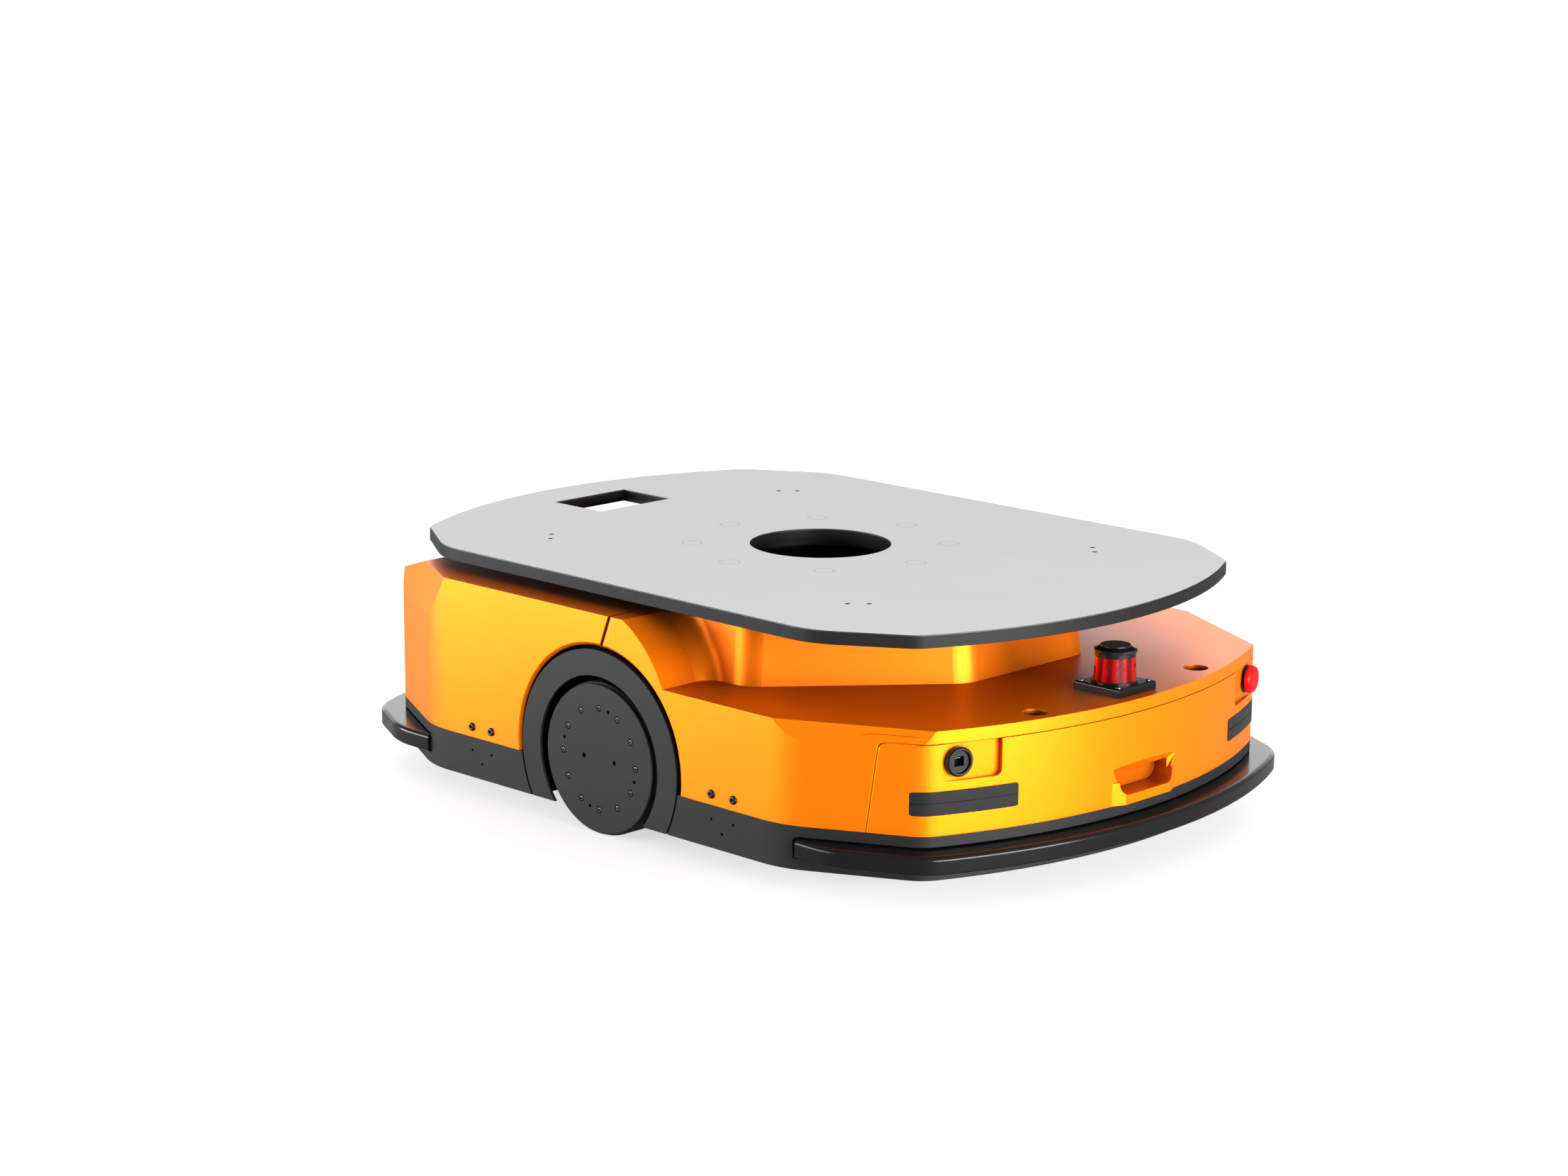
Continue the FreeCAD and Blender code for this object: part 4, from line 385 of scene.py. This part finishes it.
class ROBOT_OT_skirts(Piece, Operator):
    """Finish the skirts, arches, bumpers and lamps"""
    bl_idname = "robot.skirts"
    bl_label = "Skirts and Bumpers"

    def build(self, look):
        plastic = moulded("skirt plastic", look.plastic, 0.5, 1100.0, 0.00004, shine=0.12)
        dress(plastic, "front_skirt", "rear_skirt", "arch_ring_left", "arch_ring_right")
        dress(moulded("bumper rubber", look.rubber, 0.18, 500.0, 0.00002, shine=0.15),
              "front_bumper", "rear_bumper")
        dress(moulded("lamp lens", look.lens_grey, 0.35, 700.0, 0.00003, shine=0.08),
              "front_lamps")
        self.holes(look)

    def holes(self, look):
        """A pair of dark screw holes beside each wheel arch, and a third at the front."""
        holes = Solids()
        dark = moulded("hole shade", rgba(look.black, 0.2), 0.8, shine=0.0)
        for end, name in ((1, "front_skirt"), (-1, "rear_skirt")):
            low, high, _ = span(name)
            places = [(end * x, HOLE_HEIGHT) for x in HOLE_PAIR]
            if end > 0:
                places.append(THIRD_HOLE)
            for x, z in places:
                for edge, sign in ((high.y, 1), (low.y, -1)):
                    frame = facing((x, edge + sign * PROUD, z), (0, sign, 0))
                    holes.skin(flat_screw(HOLE_RADIUS, 1.2 * MM, 1.0 * MM), frame, 12)
        holes.build("skirt_screws", "chassis", dark, "black_steel")


class ROBOT_OT_cover_screws(Piece, Operator):
    """Make the socket screws that hold the covers"""
    bl_idname = "robot.cover_screws"
    bl_label = "Cover Screws"

    def build(self, look):
        low, high, _ = span("cover_screws")
        front = span("front_cover")[1]
        radius = (high.z - low.z) / 2
        height = high.y - front.y
        reach = (high.x - radius, high.x - radius - COVER_SCREW_STEP)
        screws = Solids()
        for sign_x in (1, -1):
            for x in reach:
                for edge, sign in ((front.y, 1), (-front.y, -1)):
                    frame = facing((sign_x * x, edge, (low.z + high.z) / 2), (0, sign, 0))
                    screws.skin(socket_screw(radius, height, 2 * MM, look.cover_key), frame)
        black = machined("black steel", (0.03, 0.03, 0.032), 0.35, (1, 1, 1))
        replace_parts(screws.build("cover_socket_screws", "chassis", black, "black_steel"),
                    "cover_screws")


class ROBOT_OT_wheels(Piece, Operator):
    """Finish the drive wheels and make their screws"""
    bl_idname = "robot.wheels"
    bl_label = "Drive Wheels"

    def build(self, look):
        disc = moulded("wheel disc", look.plastic, 0.48, 900.0, 0.00003, shine=0.12)
        tread = moulded("wheel tread", look.rubber, 0.6, 260.0, 0.0002)
        black = machined("wheel screw steel", (0.075, 0.075, 0.078), 0.4, (1, 1, 1))
        # The seats are near-black discs round each screw head: painted shade in the clearance round the
        # heads.
        dark = moulded("screw seat shade", rgba(look.black, 0.3), 0.7, shine=0.05)
        for name, sign in SIDES:
            dress(disc, "wheel_hub_" + name)
            dress(tread, "wheel_tyre_" + name)
            low, high, middle = span("wheel_screws_" + name)
            reach = (high.x - low.x) / 2 - WHEEL_SEAT
            face = high.y if sign > 0 else low.y
            screws = Solids()
            seat_shade = Solids()
            for step in range(WHEEL_SCREWS):
                angle = 2 * math.pi * step / WHEEL_SCREWS
                place = (reach * math.cos(angle), face, middle.z + reach * math.sin(angle))
                frame = facing(place, (0, sign, 0))
                head = socket_screw(WHEEL_SEAT * 0.74, 0.5 * MM, high.y - low.y, look.wheel_key)
                screws.skin(head, frame)
                seat_shade.skin([(WHEEL_SEAT, -1.0 * MM, 0), (WHEEL_SEAT, 0.12 * MM, 0)], frame)
            seat_shade.build("wheel_screw_seat_shade_" + name, "wheel_" + name, dark, "black_plastic")
            made = screws.build("wheel_socket_screws_" + name, "wheel_" + name, black, "black_steel")
            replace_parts(made, "wheel_screws_" + name)


class ROBOT_OT_platform(Piece, Operator):
    """Finish the load plate"""
    bl_idname = "robot.platform"
    bl_label = "Load Plate"

    def build(self, look):
        dress(self.mat(look), "platform_mat")
        dress(moulded("plate edge", look.core, 0.42, 1200.0, 0.00002, shine=0.08),
              "platform_plate")

    def mat(self, look):
        """A fine grain, the thin outlines of a ring of flush plugs and a dark rim."""
        mat = Shader("plate mat")
        wide = mat.noise(7.0)
        fine = mat.noise(1600.0, 2.0)
        split = mat.node("SeparateXYZ")
        mat.feed(split.inputs["Vector"], mat.place)
        eighth = math.radians(45.0)
        angle = mat.math("ARCTAN2", split.outputs["Y"], split.outputs["X"])
        turn = mat.math("MULTIPLY", mat.math("ROUND", mat.math("DIVIDE", angle, eighth)), eighth)
        across = mat.math("SUBTRACT", split.outputs["X"],
                          mat.math("MULTIPLY", mat.math("COSINE", turn), look.plate_ring))
        along = mat.math("SUBTRACT", split.outputs["Y"],
                         mat.math("MULTIPLY", mat.math("SINE", turn), look.plate_ring))
        reach = mat.math("SQRT", mat.math("ADD", mat.math("MULTIPLY", across, across),
                                          mat.math("MULTIPLY", along, along)))
        off = mat.math("ABSOLUTE", mat.math("SUBTRACT", reach, look.plate_plug))
        line = mat.ramp(off, 1.0, 0.0, look.plate_line * 0.3, look.plate_line * 0.7)
        top = mat.blend(mat.ramp(wide, 0.0, 1.0), rgba(look.mat, 0.97), rgba(look.mat))
        tilt = mat.node("SeparateXYZ")
        mat.feed(tilt.inputs["Vector"], mat.node("NewGeometry").outputs["Normal"])
        dark = mat.math("MAXIMUM", line, mat.ramp(tilt.outputs["Z"], 1.0, 0.0, 0.3, 0.8))
        mat.set(Base_Color=mat.blend(dark, top, rgba(look.core)),
                Roughness=mat.ramp(fine, 0.5, 0.58))
        return mat.bump(fine, 0.00003).material


class ROBOT_OT_lift(Piece, Operator):
    """Finish the slewing ring, the lift and its drives"""
    bl_idname = "robot.lift"
    bl_label = "Lift and Turntable"

    def build(self, look):
        gear = machined("gear steel", (0.03, 0.03, 0.031), 0.5)
        bright = machined("bright steel", look.steel, 0.25)
        dress(gear, "slewing_ring", "turn_pinion")
        dress(bright, "lift_screw_front", "lift_screw_rear", "guide_posts",
              "pivot_pin_left", "pivot_pin_right", "caster_plates")
        coat = moulded("frame coat", (0.035, 0.035, 0.038), 0.55, 600.0, 0.00008)
        dress(coat, "lift_frame", "chassis_frame", "drive_arm_left", "drive_arm_right")
        case = machined("motor case", (0.16, 0.16, 0.17), 0.5, (1, 1, 1))
        dress(case, "turn_motor", "lift_motor_front", "lift_motor_rear", "drive_motor_left",
              "drive_motor_right", "controller_box")
        dress(moulded("battery case", (0.08, 0.1, 0.14), 0.5), "battery_pack")
        dress(moulded("camera case", look.black, 0.35), "load_camera", "floor_camera")


class ROBOT_OT_casters(Piece, Operator):
    """Finish the swivel casters"""
    bl_idname = "robot.casters"
    bl_label = "Casters"

    def build(self, look):
        fork = machined("caster steel", look.steel, 0.3)
        tread = moulded("caster tread", (0.03, 0.03, 0.032), 0.6, 500.0, 0.0001)
        for end in ("front", "rear"):
            for side, _ in SIDES:
                dress(fork, "caster_fork_%s_%s" % (end, side))
                dress(tread, "caster_wheel_%s_%s" % (end, side))


class ROBOT_OT_beacon(Piece, Operator):
    """Finish the beacon and its lamp, and make its base screws"""
    bl_idname = "robot.beacon"
    bl_label = "Beacon"

    def build(self, look):
        black = moulded("beacon black", look.black, 0.2, 900.0, 0.00002, 0.05, shine=0.2)
        dress(black, "beacon_base", "beacon_cap")
        dress(moulded("beacon lamp", (0.25, 0.02, 0.02), 0.4), "beacon_lamp")
        dress(clear_red("beacon lens", look.red, span("beacon_lens")[2]), "beacon_lens")
        low, high, _ = span("beacon_base")
        inset = 7 * MM
        screws = Solids()
        for x in (low.x + inset, high.x - inset):
            for y in (low.y + inset, high.y - inset):
                frame = facing((x, y, high.z - 2.5 * MM), (0, 0, 1))
                screws.skin(socket_screw(3.2 * MM, 2.0 * MM, 1 * MM, 1.3 * MM), frame)
        steel = machined("beacon screw steel", (0.1, 0.1, 0.105), 0.3, (1, 1, 1))
        screws.build("beacon_screws", "chassis", steel, "black_steel")


class ROBOT_OT_port(Piece, Operator):
    """Finish the network port and make its contacts"""
    bl_idname = "robot.port"
    bl_label = "Network Port"

    def build(self, look):
        dress(moulded("port black", look.black, 0.3, 900.0, 0.00002), "network_port", "stop_collar")
        frame = Matrix.Translation(span("network_port")[2]) @ Matrix.Rotation(PORT_TURN, 4, "Z")
        contacts = Solids()
        pitch = 1.02 * MM
        half = 0.25 * MM
        for index in range(look.contacts):
            y = (index - (look.contacts - 1) / 2) * pitch
            contacts.block((-4 * MM, y - half, 3.4 * MM), (3 * MM, y + half, 4.2 * MM), frame)
        gold = machined("contact gold", look.gold, 0.25, (1, 1, 1))
        contacts.build("port_contacts", "chassis", gold, "black_plastic")


class ROBOT_OT_stop(Piece, Operator):
    """Finish the stop button"""
    bl_idname = "robot.stop"
    bl_label = "Stop Button"

    def build(self, look):
        dress(moulded("button red", look.red, 0.35, 800.0, 0.00001, shine=0.08), "stop_button")
        dress(machined("stem steel", look.steel, 0.3), "stop_stem")


class ROBOT_OT_stage(Operator):
    """Make the floor, the lights, the surround and the camera"""
    bl_idname = "robot.stage"
    bl_label = "Stage"
    bl_options = {"REGISTER", "UNDO"}

    def execute(self, context):
        scene = context.scene
        stage = scene.robot_stage
        scene.view_settings.view_transform = "Standard"
        self.surround(scene, stage)
        self.floor(scene, stage)
        self.soft_box(scene, "left_box", -128.0, 3.4, stage.left)
        self.soft_box(scene, "right_box", -4.0, 2.4, stage.right)
        self.camera(scene, stage)
        return {"FINISHED"}

    def surround(self, scene, stage):
        """White to the camera, and a studio that darkens behind it to everything else."""
        world = bpy.data.worlds.new("Surround")
        scene.world = world
        world.use_nodes = True
        tree = world.node_tree
        around = tree.nodes.new("ShaderNodeTexCoord")
        facing_back = tree.nodes.new("ShaderNodeVectorMath")
        facing_back.operation = "DOT_PRODUCT"
        tree.links.new(around.outputs["Generated"], facing_back.inputs[0])
        facing_back.inputs[1].default_value = (-math.sin(stage.azimuth), math.cos(stage.azimuth), 0)
        glow = tree.nodes.new("ShaderNodeMapRange")
        glow.interpolation_type = "SMOOTHSTEP"
        tree.links.new(facing_back.outputs["Value"], glow.inputs["Value"])
        glow.inputs["From Min"].default_value = 0.6
        glow.inputs["From Max"].default_value = 0.95
        glow.inputs["To Min"].default_value = stage.gloom
        glow.inputs["To Max"].default_value = stage.world
        path = tree.nodes.new("ShaderNodeLightPath")
        strength = tree.nodes.new("ShaderNodeMapRange")
        tree.links.new(path.outputs["Is Camera Ray"], strength.inputs["Value"])
        tree.links.new(glow.outputs["Result"], strength.inputs["To Min"])
        strength.inputs["To Max"].default_value = 1.0
        tree.nodes["Background"].inputs["Color"].default_value = (1, 1, 1, 1)
        tree.links.new(strength.outputs["Result"], tree.nodes["Background"].inputs["Strength"])

    def floor(self, scene, stage):
        corners = [(x * FLOOR_HALF, y * FLOOR_HALF, 0) for x, y in ((-1, -1), (1, -1), (1, 1), (-1, 1))]
        mesh = bpy.data.meshes.new("floor")
        mesh.from_pydata(corners, [], [(0, 1, 2, 3)])
        look = Shader("floor paint")
        grain = look.noise(40.0)
        seen = look.node("LightPath").outputs["Is Camera Ray"]
        look.set(Base_Color=rgba(stage.floor), Roughness=look.ramp(grain, 0.55, 0.65),
                 Emission_Color=(1, 1, 1, 1), Emission_Strength=look.ramp(seen, 0.0, stage.glow, 0.0, 1.0))
        mesh.materials.append(look.bump(grain, 0.0001).material)
        item = bpy.data.objects.new("floor", mesh)
        scene.collection.objects.link(item)

    def soft_box(self, scene, name, azimuth, width, power):
        """A wide, low lamp that faces the robot and stays out of the camera's view."""
        data = bpy.data.lights.new(name, "AREA")
        data.shape = "RECTANGLE"
        data.size = width
        data.size_y = BOX_DEPTH
        data.energy = power
        turn = math.radians(azimuth)
        place = Vector((BOX_DISTANCE * math.cos(turn), BOX_DISTANCE * math.sin(turn), BOX_HEIGHT))
        item = bpy.data.objects.new(name, data)
        item.matrix_world = facing(place, place - Vector((0, 0, AIM_HEIGHT)))
        item.visible_camera = False
        scene.collection.objects.link(item)

    def camera(self, scene, stage):
        azimuth, elevation, roll = stage.azimuth, stage.elevation, stage.roll
        level = Vector((math.cos(azimuth), math.sin(azimuth), 0))
        back = Vector((math.sin(azimuth) * math.cos(elevation),
                       -math.cos(azimuth) * math.cos(elevation), math.sin(elevation)))
        up = back.cross(level)
        right = level * math.cos(roll) + up * math.sin(roll)
        top = up * math.cos(roll) - level * math.sin(roll)
        data = bpy.data.cameras.new("camera")
        data.lens = stage.lens
        item = bpy.data.objects.new("camera", data)
        turn = Matrix((right, top, back)).transposed().to_4x4()
        item.matrix_world = Matrix.Translation(Vector(stage.place)) @ turn
        scene.collection.objects.link(item)
        scene.camera = item


class ROBOT_PT_looks(Panel):
    """Lists the settings and the operators"""
    bl_idname = "ROBOT_PT_looks"
    bl_label = "Mobile Robot"
    bl_space_type = "VIEW_3D"
    bl_region_type = "UI"
    bl_category = "Robot"

    def draw(self, context):
        for group in (context.scene.robot_look, context.scene.robot_stage):
            for name in group.__annotations__:
                self.layout.prop(group, name)
        for operator in OPERATORS:
            self.layout.operator(operator.bl_idname)


OPERATORS = (ROBOT_OT_covers, ROBOT_OT_skirts, ROBOT_OT_cover_screws, ROBOT_OT_wheels,
             ROBOT_OT_platform, ROBOT_OT_lift, ROBOT_OT_casters, ROBOT_OT_beacon,
             ROBOT_OT_port, ROBOT_OT_stop, ROBOT_OT_stage)
CLASSES = (RobotLook, RobotStage) + OPERATORS + (ROBOT_PT_looks,)


def register():
    for item in CLASSES:
        bpy.utils.register_class(item)
    bpy.types.Scene.robot_look = PointerProperty(type=RobotLook)
    bpy.types.Scene.robot_stage = PointerProperty(type=RobotStage)


def unregister():
    del bpy.types.Scene.robot_stage
    del bpy.types.Scene.robot_look
    for item in reversed(CLASSES):
        bpy.utils.unregister_class(item)


def main():
    register()
    for operator in OPERATORS:
        group, name = operator.bl_idname.split(".")
        getattr(getattr(bpy.ops, group), name)()


if __name__ == "__main__":
    main()
